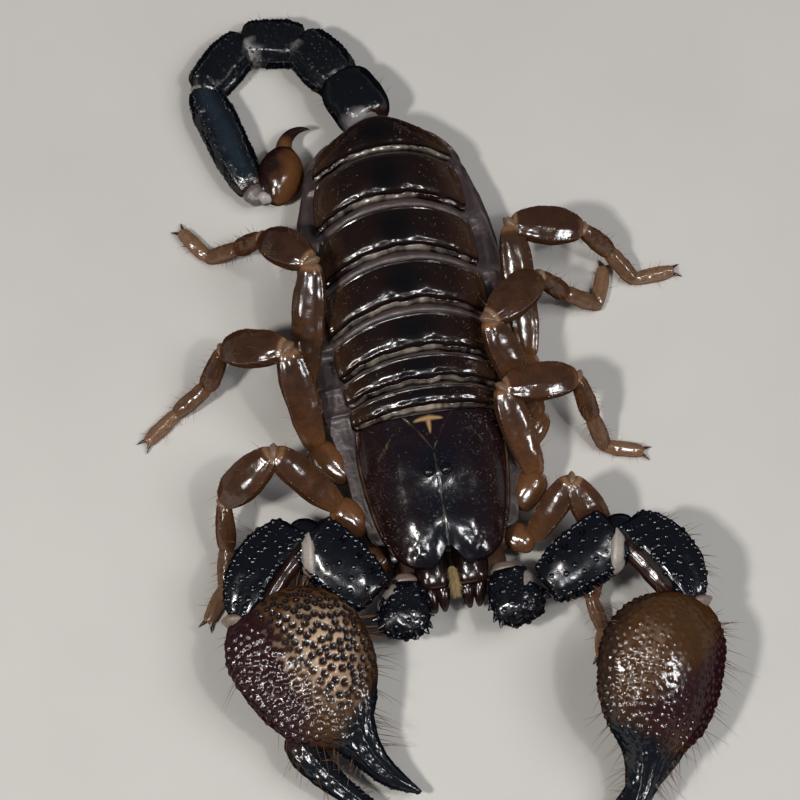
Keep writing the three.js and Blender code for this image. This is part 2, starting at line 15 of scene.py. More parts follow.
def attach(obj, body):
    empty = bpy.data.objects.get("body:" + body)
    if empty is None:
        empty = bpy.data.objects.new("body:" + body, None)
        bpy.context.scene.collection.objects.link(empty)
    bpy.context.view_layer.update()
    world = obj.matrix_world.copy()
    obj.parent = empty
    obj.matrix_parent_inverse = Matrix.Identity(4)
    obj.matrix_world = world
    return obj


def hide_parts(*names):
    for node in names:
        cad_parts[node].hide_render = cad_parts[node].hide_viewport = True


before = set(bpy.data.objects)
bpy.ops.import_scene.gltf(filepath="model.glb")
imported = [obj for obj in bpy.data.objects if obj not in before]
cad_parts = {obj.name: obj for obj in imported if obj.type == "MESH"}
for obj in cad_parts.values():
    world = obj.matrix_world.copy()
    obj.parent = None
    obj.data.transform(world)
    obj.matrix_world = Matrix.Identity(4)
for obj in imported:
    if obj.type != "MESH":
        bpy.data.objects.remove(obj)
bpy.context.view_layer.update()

MM = 0.001
DEG = math.pi / 180
UP = np.array([0.0, 0.0, 1.0])
RIGHT = -1  # the animal's own right side lies at -X
LEFT = 1
SIDES = {"right": RIGHT, "left": LEFT}

# ---------------- view and light
TARGET = np.array([-2.15, -7.0, 4.0])
VIEW = {"azimuth": -9.4, "elevation": 73.0, "distance": 300.0, "lens": 135.0}
WARMER = (1.0, 0.97, 0.93)
WARM = (1.0, 0.98, 0.95)
COOL = (0.96, 0.98, 1.0)
LIGHTS = {
    "key_left": {"azimuth": -64, "elevation": 58, "size": 30, "power": 0.55, "colour": WARMER},
    "key_right": {"azimuth": 55, "elevation": 65, "size": 20, "power": 0.16, "colour": WARM},
    "front": {"azimuth": -8, "elevation": 57, "size": 64, "power": 0.42, "colour": COOL, "lit": False},
    "edge_left": {"azimuth": -55, "elevation": 30, "size": 50, "power": 0.3, "colour": WARM, "lit": False},
    "edge_right": {"azimuth": 55, "elevation": 30, "size": 50, "power": 0.25, "colour": COOL, "lit": False},
    "overhead": {
        "azimuth": 75, "elevation": 60, "size": 240, "power": 0.75, "colour": (0.97, 0.98, 1.0),
        "distance": 420, "mirrored": False,
    },
}


def new_object(name, data):
    """An object in the scene that shows a mesh, a light or a camera."""
    made = bpy.data.objects.new(name, data)
    bpy.context.scene.collection.objects.link(made)
    return made


def view_axes(azimuth, elevation):
    """The right, up and backward directions of a view."""
    az, el = azimuth * DEG, elevation * DEG
    back = np.array([math.sin(az) * math.cos(el), -math.cos(az) * math.cos(el), math.sin(el)])
    right = np.array([math.cos(az), math.sin(az), 0.0])
    return right, np.cross(back, right), back


def aim(thing, azimuth, elevation, distance):
    """Puts a camera or a light around the target, looking at it."""
    right, up, back = view_axes(azimuth, elevation)
    turn = Matrix([right, up, back]).transposed().to_4x4()
    place = (TARGET + back * distance) * MM
    thing.matrix_world = Matrix.Translation(Vector(place)) @ turn


def make_camera():
    data = bpy.data.cameras.new("camera")
    data.lens = VIEW["lens"]
    data.clip_start = 0.01
    camera = new_object("camera", data)
    aim(camera, VIEW["azimuth"], VIEW["elevation"], VIEW["distance"])
    bpy.context.scene.camera = camera


def make_light(name, azimuth, elevation, size, power, colour, distance=330, mirrored=True, lit=True):
    """A square lamp. mirrored: it shows in glossy shell. lit: it lights dull surfaces."""
    data = bpy.data.lights.new(name, "AREA")
    data.size = size * MM
    data.energy = power
    data.color = colour
    light = new_object(name, data)
    light.visible_glossy = mirrored
    light.visible_diffuse = lit
    aim(light, azimuth, elevation, distance)


make_camera()
for light_name, light_plan in LIGHTS.items():
    make_light(light_name, **light_plan)
bpy.context.scene.view_settings.view_transform = "Standard"

# ---------------- small tools


def through(stations):
    """A smooth curve through [place, value] stations, level beyond both ends."""
    place = np.array([station[0] for station in stations], float)
    value = np.array([station[1] for station in stations], float)
    slope = np.gradient(value, place)

    def at(x):
        x = np.clip(x, place[0], place[-1])
        i = np.clip(np.searchsorted(place, x, side="right") - 1, 0, len(place) - 2)
        width = place[i + 1] - place[i]
        t = (x - place[i]) / width
        keep = 2 * t ** 3 - 3 * t ** 2 + 1
        leave = t ** 3 - 2 * t ** 2 + t
        arrive = t ** 3 - t ** 2
        curve = keep * value[i] + (1 - keep) * value[i + 1]
        return curve + width * (leave * slope[i] + arrive * slope[i + 1])

    return at


def spread(values):
    """The same for values spaced evenly from 0 to 1."""
    return through([[i / (len(values) - 1), value] for i, value in enumerate(values)])


def heading(bearing, slope=0.0):
    """The direction of a bearing, in degrees from +X, that climbs at a slope."""
    flat = math.cos(slope * DEG)
    return np.array([
        flat * math.cos(bearing * DEG), flat * math.sin(bearing * DEG), math.sin(slope * DEG),
    ])


def unit(vectors):
    length = np.linalg.norm(vectors, axis=-1, keepdims=True)
    return vectors / np.maximum(length, 1e-9)


def stack(x, y, z):
    return np.stack(np.broadcast_arrays(x, y, z), axis=-1).astype(float)


def level_axes(axis):
    """The level direction across an axis, and the one that is square to both."""
    across = unit(np.cross(axis, UP))
    return across, np.cross(across, axis)


def on_side(place, side):
    """A place on the left, or its mirror image on the right."""
    return np.array(place) * [side, 1, 1]


def moved(origin, *moves):
    """A place moved by amounts, each with the direction it goes in."""
    for amount, direction in moves:
        origin = origin + amount[..., None] * direction
    return origin


def bell(distance, width):
    return np.exp(-((distance / width) ** 2))


def smoothstep(x, low, high):
    t = np.clip((x - low) / (high - low), 0, 1)
    return t * t * (3 - 2 * t)


MIXERS = (374761393, 668265263, 974634777, 1274126177)  # large odd factors that mix up a cell's numbers


def lumps(points, size, seed=0):
    """Smooth random values from -1 to 1 over points, changing every size millimetres."""
    place = points / size + seed * 17.31
    cell = np.floor(place).astype(np.int64)
    part = place - cell
    part = part * part * (3 - 2 * part)
    total = np.zeros(points.shape[:-1])
    for corner in np.ndindex(2, 2, 2):
        key = cell + corner
        mixed = key[..., 0] * MIXERS[0] + key[..., 1] * MIXERS[1] + key[..., 2] * MIXERS[2]
        mixed = (mixed ^ (mixed >> 13)) * MIXERS[3]
        value = ((mixed ^ (mixed >> 16)) & 0xFFFF) / 32767.5 - 1
        weight = np.prod(np.where(corner, part, 1 - part), axis=-1)
        total += value * weight
    return total


def fullness(t, bluntness):
    """How full a blunt-ended body is at station t."""
    return np.maximum(0, 1 - np.abs(2 * t - 1) ** bluntness) ** (1 / bluntness)


def squared(value, power):
    """Turns the cosine or sine of a circle into that of a rounded square."""
    return np.sign(value) * np.abs(value) ** power


def rings(place, rows, sides):
    """Points of a closed form: rows of rings, packed closer at both ends."""
    t = (1 - np.cos(np.linspace(0, math.pi, rows))) / 2
    angle = np.linspace(0, 2 * math.pi, sides, endpoint=False)
    t, angle = np.meshgrid(t, angle, indexing="ij")
    return t, angle, place(t, np.cos(angle), np.sin(angle))


def ring_row(share, rows):
    """The ring nearest a share of the length of such a form."""
    return np.round(np.arccos(1 - 2 * share) / math.pi * (rows - 1)).astype(int)


def ring_column(angle, sides):
    """The point of a ring nearest an angle in degrees."""
    return np.round(angle / 360 * sides).astype(int) % sides


def ring_normals(points):
    """Outward normals of rows of rings."""
    along = np.gradient(points, axis=0)
    around = np.roll(points, -1, 1) - np.roll(points, 1, 1)
    normal = unit(np.cross(around, along))
    outward = points - points.mean(axis=1, keepdims=True)
    return normal * np.sign((outward * normal).sum())


def raised(points, height):
    """Moves rows of rings out along their normals."""
    return points + ring_normals(points) * np.asarray(height)[..., None]


def rough_up(points, size, depth, seed=0):
    """Raises rows of rings by lumps of a size, with finer ones on them."""
    fine = lumps(points, size / 2.6, seed + 1)
    return raised(points, depth * lumps(points, size, seed) + 0.35 * depth * fine)


def scatter(points, spacing, seed=0, wanted=None):
    """Indices of points, picked at random, that keep a spacing from each other."""
    order = np.random.default_rng(seed).permutation(len(points))
    taken = {}
    picked = []
    for index in order:
        if wanted is not None and not wanted[index]:
            continue
        point = points[index]
        cell = tuple(np.floor(point / spacing).astype(int))
        near = [
            other
            for shift in np.ndindex(3, 3, 3)
            for other in taken.get(tuple(np.add(cell, shift) - 1), ())
        ]
        if near and min(np.linalg.norm(np.array(near) - point, axis=1)) < spacing:
            continue
        taken.setdefault(cell, []).append(point)
        picked.append(index)
    return np.array(picked, int)


def domes(points, centres, radius):
    """Height from 0 to 1 of round domes of a radius over points."""
    flat = points.reshape(-1, 3)
    nearest = np.full(len(flat), 1e9)
    for chunk in np.array_split(np.arange(len(flat)), max(1, len(flat) // 4000)):
        gap = flat[chunk, None, :] - centres[None, :, :]
        nearest[chunk] = (gap ** 2).sum(-1).min(1)
    height = np.maximum(0, 1 - nearest / radius ** 2)
    return height.reshape(points.shape[:-1])


# ---------------- meshes
HIGHEST_HAIR = 12.4
LOWEST_HAIR = 0.02
LARGE_BEAD = 0.15
BEAD_SUNK = 0.15
HAIR_TILT = 0.12


def quads(rows, sides, wrap=True):
    """Faces between rows of points in one list; wrap closes each row into a ring."""
    row = np.arange(rows - 1)[:, None] * sides
    here = np.arange(sides if wrap else sides - 1)[None, :]
    after = (here + 1) % sides
    return np.stack([row + here, row + after, row + sides + after, row + sides + here], -1).reshape(-1, 4)


def axes_around(directions):
    """Two directions square to each of many directions."""
    across = unit(np.cross(directions, [0.31, 0.47, 0.83]))
    return across, np.cross(directions, across)


class Piece:
    """One mesh of the model, gathered from rings, plates, beads and bristles."""

    def __init__(self):
        self.points = []
        self.faces = []
        self.marks = []
        self.bake = []
        self.count = 0

    def add(self, points, faces, marks=(), bake=None):
        """marks are up to three values from 0 to 1 that the material colours by."""
        self.points.append(points)
        self.faces.append(faces + self.count)
        full = np.zeros((len(points), 3))
        for channel, value in enumerate(marks):
            full[:, channel] = np.broadcast_to(np.asarray(value, float).reshape(-1), len(points))
        self.marks.append(full)
        self.bake.append(np.zeros((len(points), 2)) if bake is None else bake)
        self.count += len(points)

    def add_each(self, forms, faces, marks=(), bake=None):
        """Many small forms with the same faces."""
        count, each = forms.shape[:2]
        offsets = np.arange(count)[:, None, None] * each
        values = [np.repeat(np.broadcast_to(value, count), each) for value in marks]
        self.add(forms.reshape(-1, 3), (faces + offsets).reshape(-1, 4), values, bake)

    def grid(self, points, marks=(), wrap=True):
        """Rows of points joined by quads."""
        self.add(points.reshape(-1, 3), quads(*points.shape[:2], wrap), marks)

    def beads(self, centres, normals, radius, marks=(), flat=0.8):
        """Little domes that stand on a surface."""
        sides, levels = (8, 3) if np.max(radius, initial=0) > LARGE_BEAD else (6, 2)
        across, over = axes_around(normals)
        angle = np.arange(sides) * 2 * math.pi / sides
        circle = (across[:, None] * np.cos(angle)[:, None] + over[:, None] * np.sin(angle)[:, None])
        radius = np.broadcast_to(radius, len(centres))[:, None, None]
        layers = []
        for level in range(levels):
            rise = level / levels * math.pi / 2
            lift = math.sin(rise) * flat - BEAD_SUNK
            layers.append(centres[:, None] + radius * (circle * math.cos(rise) + normals[:, None] * lift))
        layers.append(centres[:, None] + radius * normals[:, None] * (flat - BEAD_SUNK))
        rim = (levels - 1) * sides + np.arange(sides)
        tip = np.full(sides, levels * sides)
        cap = np.stack([rim, np.roll(rim, -1), tip, tip], -1)
        self.add_each(np.concatenate(layers, axis=1), np.concatenate([quads(levels, sides), cap]), marks)

    def bristles(self, roots, directions, lengths, thick, bend=0.25, seed=0, bake=None):
        """Tapered, bent bristles with three sides, each with its own place for OFBake."""
        random = np.random.default_rng(seed)
        levels, sides = 5, 3
        directions = unit(directions + random.normal(0, HAIR_TILT, directions.shape))
        droop = unit(random.normal(0, 0.5, directions.shape) - UP)
        across, over = axes_around(directions)
        lengths = lengths[:, None]
        layers = []
        for level in range(levels):
            t = level / (levels - 1)
            centre = roots + directions * lengths * t + droop * lengths * bend * t * t
            radius = thick * (1 - 0.85 * t)
            for i in range(sides):
                turn = 2 * math.pi * i / sides
                layers.append(centre + radius * (across * math.cos(turn) + over * math.sin(turn)))
        points = np.stack(layers, axis=1)
        points[..., 2] = np.clip(points[..., 2], LOWEST_HAIR, HIGHEST_HAIR)
        patch = np.stack(np.meshgrid(np.arange(sides) / sides, np.arange(levels) / levels), -1)
        bake = (bake[:, None, :] + 0.003 * patch.reshape(1, -1, 2)).reshape(-1, 2)
        self.add_each(points, quads(levels, sides), bake=bake)

    def build(self, name, material, nodes=(), with_bake=False):
        """Makes the mesh, which rides on the body and stands for the CAD nodes named."""
        points = np.concatenate(self.points) * MM
        points[:, 2] = np.maximum(points[:, 2], 0)
        faces = [tuple(dict.fromkeys(face)) for face in np.concatenate(self.faces).tolist()]
        mesh = bpy.data.meshes.new(name)
        mesh.from_pydata(points.tolist(), [], faces)
        mesh.shade_smooth()
        marks = np.concatenate(self.marks)
        colour = np.concatenate([marks, np.ones((len(marks), 1))], axis=1)
        attribute = mesh.attributes.new("marks", "FLOAT_COLOR", "POINT")
        attribute.data.foreach_set("color", colour.astype(np.float32).reshape(-1))
        if with_bake:
            corner = np.zeros(len(mesh.loops), np.int32)
            mesh.loops.foreach_get("vertex_index", corner)
            layer = mesh.uv_layers.new(name="OFBake")
            bake = np.concatenate(self.bake)[corner]
            layer.data.foreach_set("uv", bake.astype(np.float32).reshape(-1))
        mesh.materials.append(material)
        piece = new_object(name, mesh)
        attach(piece, "root")
        if nodes:
            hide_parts(*nodes)


# ---------------- materials
def darker(colour, share):
    return tuple(share * c for c in colour)


class Look:
    """A procedural material, built node by node."""

    def __init__(self, name):
        self.material = bpy.data.materials.new(name)
        self.material.use_nodes = True
        self.tree = self.material.node_tree
        self.shader = self.tree.nodes["Principled BSDF"]
        self.place = self.node("ShaderNodeTexCoord", "Object", {})
        marks = self.node("ShaderNodeAttribute", "Color", {}, attribute_name="marks")
        channels = ("Red", "Green", "Blue")
        self.marks = [self.node("ShaderNodeSeparateColor", key, {"Color": marks}) for key in channels]

    def node(self, kind, output, inputs, **settings):
        """Makes a node, gives it its inputs and returns the output asked for."""
        made = self.tree.nodes.new(kind)
        for key, value in settings.items():
            setattr(made, key, value)
        for key, value in inputs.items():
            self.give(made.inputs[key], value)
        return made.outputs[output]

    def give(self, target, value):
        """Links a socket to an input, or sets a number or a colour there."""
        if isinstance(value, bpy.types.NodeSocket):
            self.tree.links.new(value, target)
        elif isinstance(value, tuple) and target.type == "RGBA":
            target.default_value = (*value, 1)
        else:
            target.default_value = value

    def shade(self, **inputs):
        """Gives the shader its inputs; an underscore stands for a space in their names."""
        for name, value in inputs.items():
            self.give(self.shader.inputs[name.replace("_", " ")], value)
        return self.material

    def noise(self, size, detail=3.0, rough=0.55):
        """Cloudy noise that changes every size millimetres."""
        inputs = {"Vector": self.place, "Scale": 1 / (size * MM), "Detail": detail, "Roughness": rough}
        return self.node("ShaderNodeTexNoise", "Fac", inputs)

    def cells(self, size):
        """Distance to scattered points about size millimetres apart."""
        inputs = {"Vector": self.place, "Scale": 1 / (size * MM)}
        return self.node("ShaderNodeTexVoronoi", "Distance", inputs)

    def span(self, value, low, high, to_low=0.0, to_high=1.0):
        """Maps a value from one span to another."""
        inputs = {"Value": value, "From Min": low, "From Max": high, "To Min": to_low, "To Max": to_high}
        return self.node("ShaderNodeMapRange", "Result", inputs)

    def mix(self, factor, first, second):
        """Blends two colours, each a socket or an RGB triple."""
        return self.node("ShaderNodeMix", 2, {"Factor": factor, 6: first, 7: second}, data_type="RGBA")

    def worked(self, operation, first, second):
        """A sum or product of two sockets."""
        return self.node("ShaderNodeMath", 0, {0: first, 1: second}, operation=operation)

    def bump(self, height, depth, before=None):
        """Bump of a depth in millimetres, on top of that before."""
        inputs = {"Strength": 1.0, "Distance": depth * MM, "Height": height}
        if before is not None:
            inputs["Normal"] = before
        return self.node("ShaderNodeBump", "Normal", inputs)


def cuticle(name, colours, rough, grain=0.02, pits=0.0, coat=0.35, mottle=0.3, clear=0.0, spots=0.0):
    """Horny shell: a first colour, changed by each mark to the next, mottled, pitted and glossy."""
    look = Look(name)
    cloud = look.noise(1.6, 4.0)
    fine = look.noise(0.16, 2.0)
    colour = look.mix(look.span(cloud, 0.35, 0.7, 0, mottle), colours[0], darker(colours[0], 0.35))
    for mark, other in zip(look.marks, colours[1:]):
        edge = look.worked("ADD", mark, look.span(cloud, 0.3, 0.7, -0.12, 0.12))
        held = look.worked("MULTIPLY", look.span(edge, 0.08, 0.92), look.span(mark, 0.0, 0.06))
        colour = look.mix(held, colour, other)
    if spots:
        speck = look.noise(0.4, 3.0, 0.6)
        colour = look.mix(look.span(speck, 0.48, 0.68, 0, spots), colour, darker(colours[0], 0.3))
    normal = look.bump(fine, grain)
    if pits:
        normal = look.bump(look.span(look.cells(0.42), 0.05, 0.3), pits, normal)
    if clear:
        look.shade(Subsurface_Weight=clear, Subsurface_Radius=(1.0, 0.45, 0.2), Subsurface_Scale=0.6 * MM)
    roughness = look.span(cloud, 0.3, 0.7, rough * 0.8, rough * 1.25)
    # seen at a low angle, the gloss fades, so that the pale floor doesn't whiten the rims
    facing = look.node("ShaderNodeLayerWeight", "Facing", {})
    look.shade(Coat_Weight=look.span(facing, 0.2, 0.5, coat, 0.0), Coat_Roughness=0.12, Coat_IOR=1.55)
    look.shade(Specular_IOR_Level=look.span(facing, 0.2, 0.5, 0.5, 0.0), IOR=1.5)
    return look.shade(Base_Color=colour, Roughness=roughness, Normal=normal)


def soft_skin(name, colours, rough):
    """Joint and flank skin: folded, with painted shade in the hollows of its folds, dull and a little clear.
    """
    look = Look(name)
    cloud = look.noise(2.2, 4.0)
    folds = look.noise(0.35, 5.0, 0.7)
    colour = look.mix(look.span(cloud, 0.3, 0.7), colours[0], colours[1])
    colour = look.mix(look.marks[0], colour, colours[2])
    colour = look.mix(look.marks[1], colour, colours[3])
    # painted shade: darker where the folds sink
    colour = look.mix(look.span(folds, 0.3, 0.5, 0.35, 0.0), colour, darker(colours[0], 0.45))
    roughness = look.span(folds, 0.3, 0.7, rough * 1.2, rough * 0.8)
    look.shade(Subsurface_Weight=0.25, Subsurface_Radius=(1.0, 0.6, 0.5), Subsurface_Scale=0.8 * MM)
    look.shade(Coat_Weight=0.2, Coat_Roughness=0.25)
    return look.shade(Base_Color=colour, Roughness=roughness, Normal=look.bump(folds, 0.06))


def plain(name, colour, rough, variation=0.3, size=1.0):
    """One colour with a little cloudiness, for bristles, eyes and the floor."""
    look = Look(name)
    cloud = look.span(look.noise(size), 0.35, 0.65)
    return look.shade(Base_Color=look.mix(cloud, colour, darker(colour, 1 - variation)), Roughness=rough)


SHELL_LOOK = cuticle(
    "carapace_shell",
    [(0.009, 0.0045, 0.007), (0.015, 0.005, 0.005), (0.004, 0.005, 0.01), (0.4, 0.24, 0.11)],
    0.18, grain=0.012, pits=0.006,
)
# back plates: base, brown sides, black centre, and the pale of the hem and front line, whose front line also
# carries a painted glint
PLATE_LOOK = cuticle(
    "back_plates",
    [(0.012, 0.005, 0.0045), (0.036, 0.017, 0.009), (0.002, 0.002, 0.003), (0.5, 0.42, 0.34)],
    0.2, grain=0.012, pits=0.004,
)
BELLY_LOOK = cuticle(
    "belly_plates", [(0.13, 0.085, 0.055), (0.2, 0.13, 0.085), (0.03, 0.02, 0.02)], 0.32,
)
SKIN_LOOK = soft_skin(
    "soft_skin",
    [(0.09, 0.062, 0.06), (0.055, 0.04, 0.045), (0.42, 0.38, 0.34), (0.2, 0.1, 0.035)],
    0.4,
)
LEG_LOOK = cuticle(
    "leg_shell",
    [(0.115, 0.048, 0.021), (0.034, 0.015, 0.01), (0.2, 0.085, 0.029), (0.3, 0.19, 0.12)],
    0.17, grain=0.014, clear=0.2, mottle=0.55, spots=0.35, coat=0.6,
)
# arms: black, brown, and a blue-grey for grains and tops, which on the upper arm's top is partly a painted
# sheen
ARM_LOOK = cuticle(
    "arm_shell", [(0.004, 0.005, 0.009), (0.03, 0.012, 0.009), (0.012, 0.016, 0.026)], 0.2, grain=0.012,
)
# palms: amber base, purple, blue-black, and a cream that is a painted glare between the bosses
PALM_LOOK = cuticle(
    "palm_shell",
    [(0.072, 0.032, 0.012), (0.026, 0.007, 0.009), (0.006, 0.008, 0.012), (0.6, 0.42, 0.29)],
    0.18, grain=0.012, coat=0.22,
)
# tail rings: black, a bluish painted sheen for the top of the last ring, brown ring ends and pale joint skin
TAIL_LOOK = cuticle(
    "tail_shell",
    [(0.004, 0.005, 0.008), (0.016, 0.027, 0.04), (0.03, 0.014, 0.01), (0.26, 0.25, 0.25)],
    0.18, grain=0.03,
)
STING_LOOK = cuticle("sting_shell", [(0.125, 0.05, 0.017), (0.018, 0.007, 0.007)], 0.18, clear=0.25)
HIP_LOOK = cuticle("hip_shell", [(0.03, 0.015, 0.01), (0.1, 0.05, 0.024), (0.14, 0.09, 0.055)], 0.28)
JAW_LOOK = cuticle("jaw_shell", [(0.007, 0.0035, 0.003), (0.02, 0.007, 0.005)], 0.16)
CLAW_LOOK = cuticle("claw_horn", [(0.06, 0.02, 0.012)], 0.22)
EYE_LOOK = plain("eye_gloss", (0.006, 0.006, 0.008), 0.06)
HAIR_LOOK = plain("bristles", (0.2, 0.09, 0.035), 0.3)
TUFT_LOOK = plain("jaw_tuft", (0.5, 0.36, 0.17), 0.5)
FLOOR_LOOK = plain("pale_floor", (0.62, 0.6, 0.57), 0.7, 0.05, 30.0)

# ---------------- the body plan, as in the solids
GAP = 0.3
SHELL = 0.75
NECK = -9.9
CARAPACE_FRONT = -25.2
EYE = {"y": -16.2, "apart": 0.85, "above": 0.35, "radius": 0.6}
BODY_END = 22.5
BACK_PLATES = [[2.5, 0.3], [2.9, 0.35], [4.0, 0.9], [4.7, 1.0], [4.8, 1.0], [5.0, 0.5], [4.3, 0]]
BELLY_START = -3.2
BELLY_PLATES = 5
HIP_TOP = 3.3

LEG_PAIRS = {
    1: {"hip": [8.3, -23.2, 3.1], "lengths": [8.2, 7.4, 6.2, 3.4, 2.6], "girth": 0.85, "dark": 0.0},
    2: {"hip": [9.9, -17.0, 3.8], "lengths": [9.9, 7.9, 4.8, 4.2, 3.7], "girth": 0.97, "dark": 0.05},
    3: {"hip": [11.2, -10.8, 3.7], "lengths": [11.5, 8.0, 4.8, 4.7, 4.0], "girth": 1.0, "dark": 0.2},
    4: {"hip": [11.4, -4.6, 3.5], "lengths": [13.6, 7.5, 4.6, 4.3, 4.0], "girth": 1.0, "dark": 0.3},
}
LEG_POSES = {
    "left_1": {"bearings": [42, -63, -111, -76, -105], "slopes": [42, -41, -15]},
    "left_2": {"bearings": [105, 3, -71, -66, -17], "slopes": [33, -14, -46]},
    "left_3": {"bearings": [113, 37, -16, -15, 71], "slopes": [35, -20, -57]},
    "left_4": {"bearings": [89, -9, -29, -50, 4], "slopes": [20, -13, -50]},
    "right_1": {"bearings": [-135, 180, -50, -40, -30], "slopes": [-8, -5, -5]},
    "right_2": {"bearings": [139, -152, -96, -103, -124], "slopes": [42, -36, -41]},
    "right_3": {"bearings": [99, 160, -132, -157, -143], "slopes": [41, -33, -50]},
    "right_4": {"bearings": [77, 133, 162, 174, 126], "slopes": [34, -31, -58]},
}
HIP_ENDS = {1: [6.4, -22.2, 3.0], 2: [7.8, -19.2, 3.0], 3: [8.6, -13.6, 3.0], 4: [8.6, -7.4, 3.0]}
HIP_ROOTS = {1: [1.6, -21.4, 1.9], 2: [1.6, -18.6, 1.8], 3: [1.5, -14.6, 1.8], 4: [1.5, -11.4, 1.8]}
FOOT_HEIGHT = 0.6

TAIL_ROOT = np.array([-0.3, 23.0, 4.6])
TAIL = [
    {"length": 5.8, "bearing": 113, "slope": -11, "size": [5.9, 5.0]},
    {"length": 6.2, "bearing": 123, "slope": -10, "size": [5.2, 4.8]},
    {"length": 6.0, "bearing": 168, "slope": -2, "size": [4.8, 4.5]},
    {"length": 6.9, "bearing": -138, "slope": -1, "size": [4.5, 4.2]},
    {"length": 12.0, "bearing": -74, "slope": 0, "size": [4.1, 4.1]},
]
BULB = {"offset": [2.35, -2.15, 0], "length": 6.5, "bearing": 73, "neck": 2}
STING = {"length": 4.4, "start": 92, "end": -22, "thick": 0.9, "sunk": 0.7}

ARMS = {
    "right": {
        "side": RIGHT, "knob": [-5.6, -28.2, 4.7], "shoulder": [-7.9, -26.9, 5.8],
        "elbow": [-13.5, -20.0, 6.7], "heel": [-14.3, -19.3, 6.7], "wrist": [-21.4, -27.4, 6.9],
        "pincer": {"bearing": -55.6, "slope": -11, "roll": 0, "closing": 3, "hinge": [-3.8, -0.5]},
    },
    "left": {
        "side": LEFT, "knob": [5.9, -28.6, 4.7], "shoulder": [8.7, -28.6, 5.8],
        "elbow": [16.5, -24.5, 6.7], "heel": [17.4, -23.9, 6.7], "wrist": [22.6, -32.9, 7.0],
        "pincer": {"bearing": -116, "slope": -9, "roll": 36, "closing": 22, "hinge": [-2.8, -1.1]},
    },
}
FINGER_LENGTH = 14

# half widths and heights of the body, by y
plate_half = through([
    [CARAPACE_FRONT, 5.3], [-23, 5.95], [-19, 6.9], [-14, 7.5], [-9, 7.5],
    [-2, 8.15], [8, 7.95], [15, 7.5], [18.4, 6.9], [BODY_END, 3.3],
])
crest = through([
    [CARAPACE_FRONT, 6.3], [-22, 7.6], [-17, 8.7], [-10, 8.9],
    [0, 9.4], [10, 9.3], [17, 8.7], [BODY_END, 7.1],
])
hem = through([[CARAPACE_FRONT, 5.2], [-10, 5.7], [-4, 6.2], [12, 6.1], [18, 5.5], [BODY_END, 5.2]])
flesh_half = through([
    [-21.8, 6.0], [-18.6, 7.9], [-13, 8.9], [-8, 9.8], [-2.6, 10.4],
    [6, 10.5], [10, 10.1], [13.4, 9.4], [19.5, 6.6], [BODY_END, 3.4],
])
waist = through([[-22, 3.9], [-12, 4.3], [0, 4.2], [14, 4.3], [BODY_END, 4.2]])
belly_half = through([[-4, 7.2], [0, 7.6], [12, 7.6], [18, 6.2], [BODY_END, 2.9]])
belly_lift = through([[13, 0], [15, 0], [18, 0.4], [BODY_END, 2.0]])
bow = through([[NECK, 0.2], [-4, 1.3], [BODY_END, 1.4]])


def back_height(x, y, square=2.6):
    """The top of the body, level in the middle and dropping to the hem; square flattens it."""
    out = np.minimum(1, np.abs(x) / plate_half(y))
    return hem(y) + (crest(y) - hem(y)) * (1 - out ** square)


def belly_height(x, y):
    out = np.abs(x) / belly_half(y)
    return np.maximum(belly_lift(y), 0) + 6.9 * np.maximum(0, out - 0.6) ** 2


def plate(piece, surface, marks, columns, rows, down=-1):
    """A closed plate under, or over, a surface(u, v), with rounded edges all round."""
    rim = 0.012
    u = np.concatenate([[-1, -1 + rim / 4, -1 + rim], np.linspace(-1, 1, columns)[1:-1]])
    u = np.concatenate([u, -u[2::-1]])[::-down]
    v = np.concatenate([[0, rim / 4, rim], np.linspace(0, 1, rows)[1:-1]])
    v = np.concatenate([v, 1 - v[2::-1]])
    v, u = np.meshgrid(v, u, indexing="ij")
    inset = np.minimum(1, np.minimum(1 - np.abs(u), 2 * np.minimum(v, 1 - v)) / rim)
    round_off = SHELL * (1 - np.sqrt(inset * (2 - inset))) / 2
    top = surface(u, v)
    values = marks(u, v, top)
    upper = top + down * UP * round_off[..., None]
    lower = top + down * UP * (SHELL - round_off)[..., None]
    piece.grid(upper, values, wrap=False)
    piece.grid(lower[:, ::-1], [value[:, ::-1] for value in values], wrap=False)


def on_surface(surface, u, v, step=1e-3):
    """Points and upward normals of a surface(u, v) at lists of u and v."""
    here = surface(u, v)
    across = surface(u + step, v) - here
    along = surface(u, v + step) - here
    normal = unit(np.cross(across, along))
    return here, normal * np.sign(normal[..., 2:3])


def plate_grains(piece, surface, share, marks, seed, count, reach, front, radius):
    """Fine beads scattered over a plate, of which a share(u, points) stay."""
    random = np.random.default_rng(seed)
    u = random.uniform(-reach, reach, count)
    v = random.uniform(front, 0.97, count)
    points, normals = on_surface(surface, u, v)
    chosen = random.uniform(0, 1, count) < share(u, points)
    piece.beads(points[chosen], normals[chosen], random.uniform(*radius, chosen.sum()), marks)


# ---------------- the back
CARAPACE_MESH = {"columns": 190, "rows": 180}
CARAPACE_GRAINS = {"seed": 5, "count": 5000, "reach": 0.95, "front": 0.05, "radius": (0.045, 0.085)}
TERGITE_COLUMNS = 150
TERGITE_ROWS = {"least": 18, "per_millimetre": 12}
TERGITE_GRAINS = {"count": 300, "reach": 0.97, "front": 0.3, "radius": (0.035, 0.08)}
TRIANGLE = {"tip": -14.2, "rear": -10.3, "half": 2.5}
NOTCH = {"depth": 1.8, "narrow": 5.2, "swept": 2.4}
SIDE_EYES = {"across": 0.955, "along": np.array([0.1, 0.16, 0.22]), "radius": np.array([0.26, 0.24, 0.18])}


def carapace_front(u):
    """The front edge: notched in the middle and swept back at its corners."""
    notch = NOTCH["depth"] * np.exp(-((u * NOTCH["narrow"]) ** 2))
    return CARAPACE_FRONT + notch + NOTCH["swept"] * u ** 6


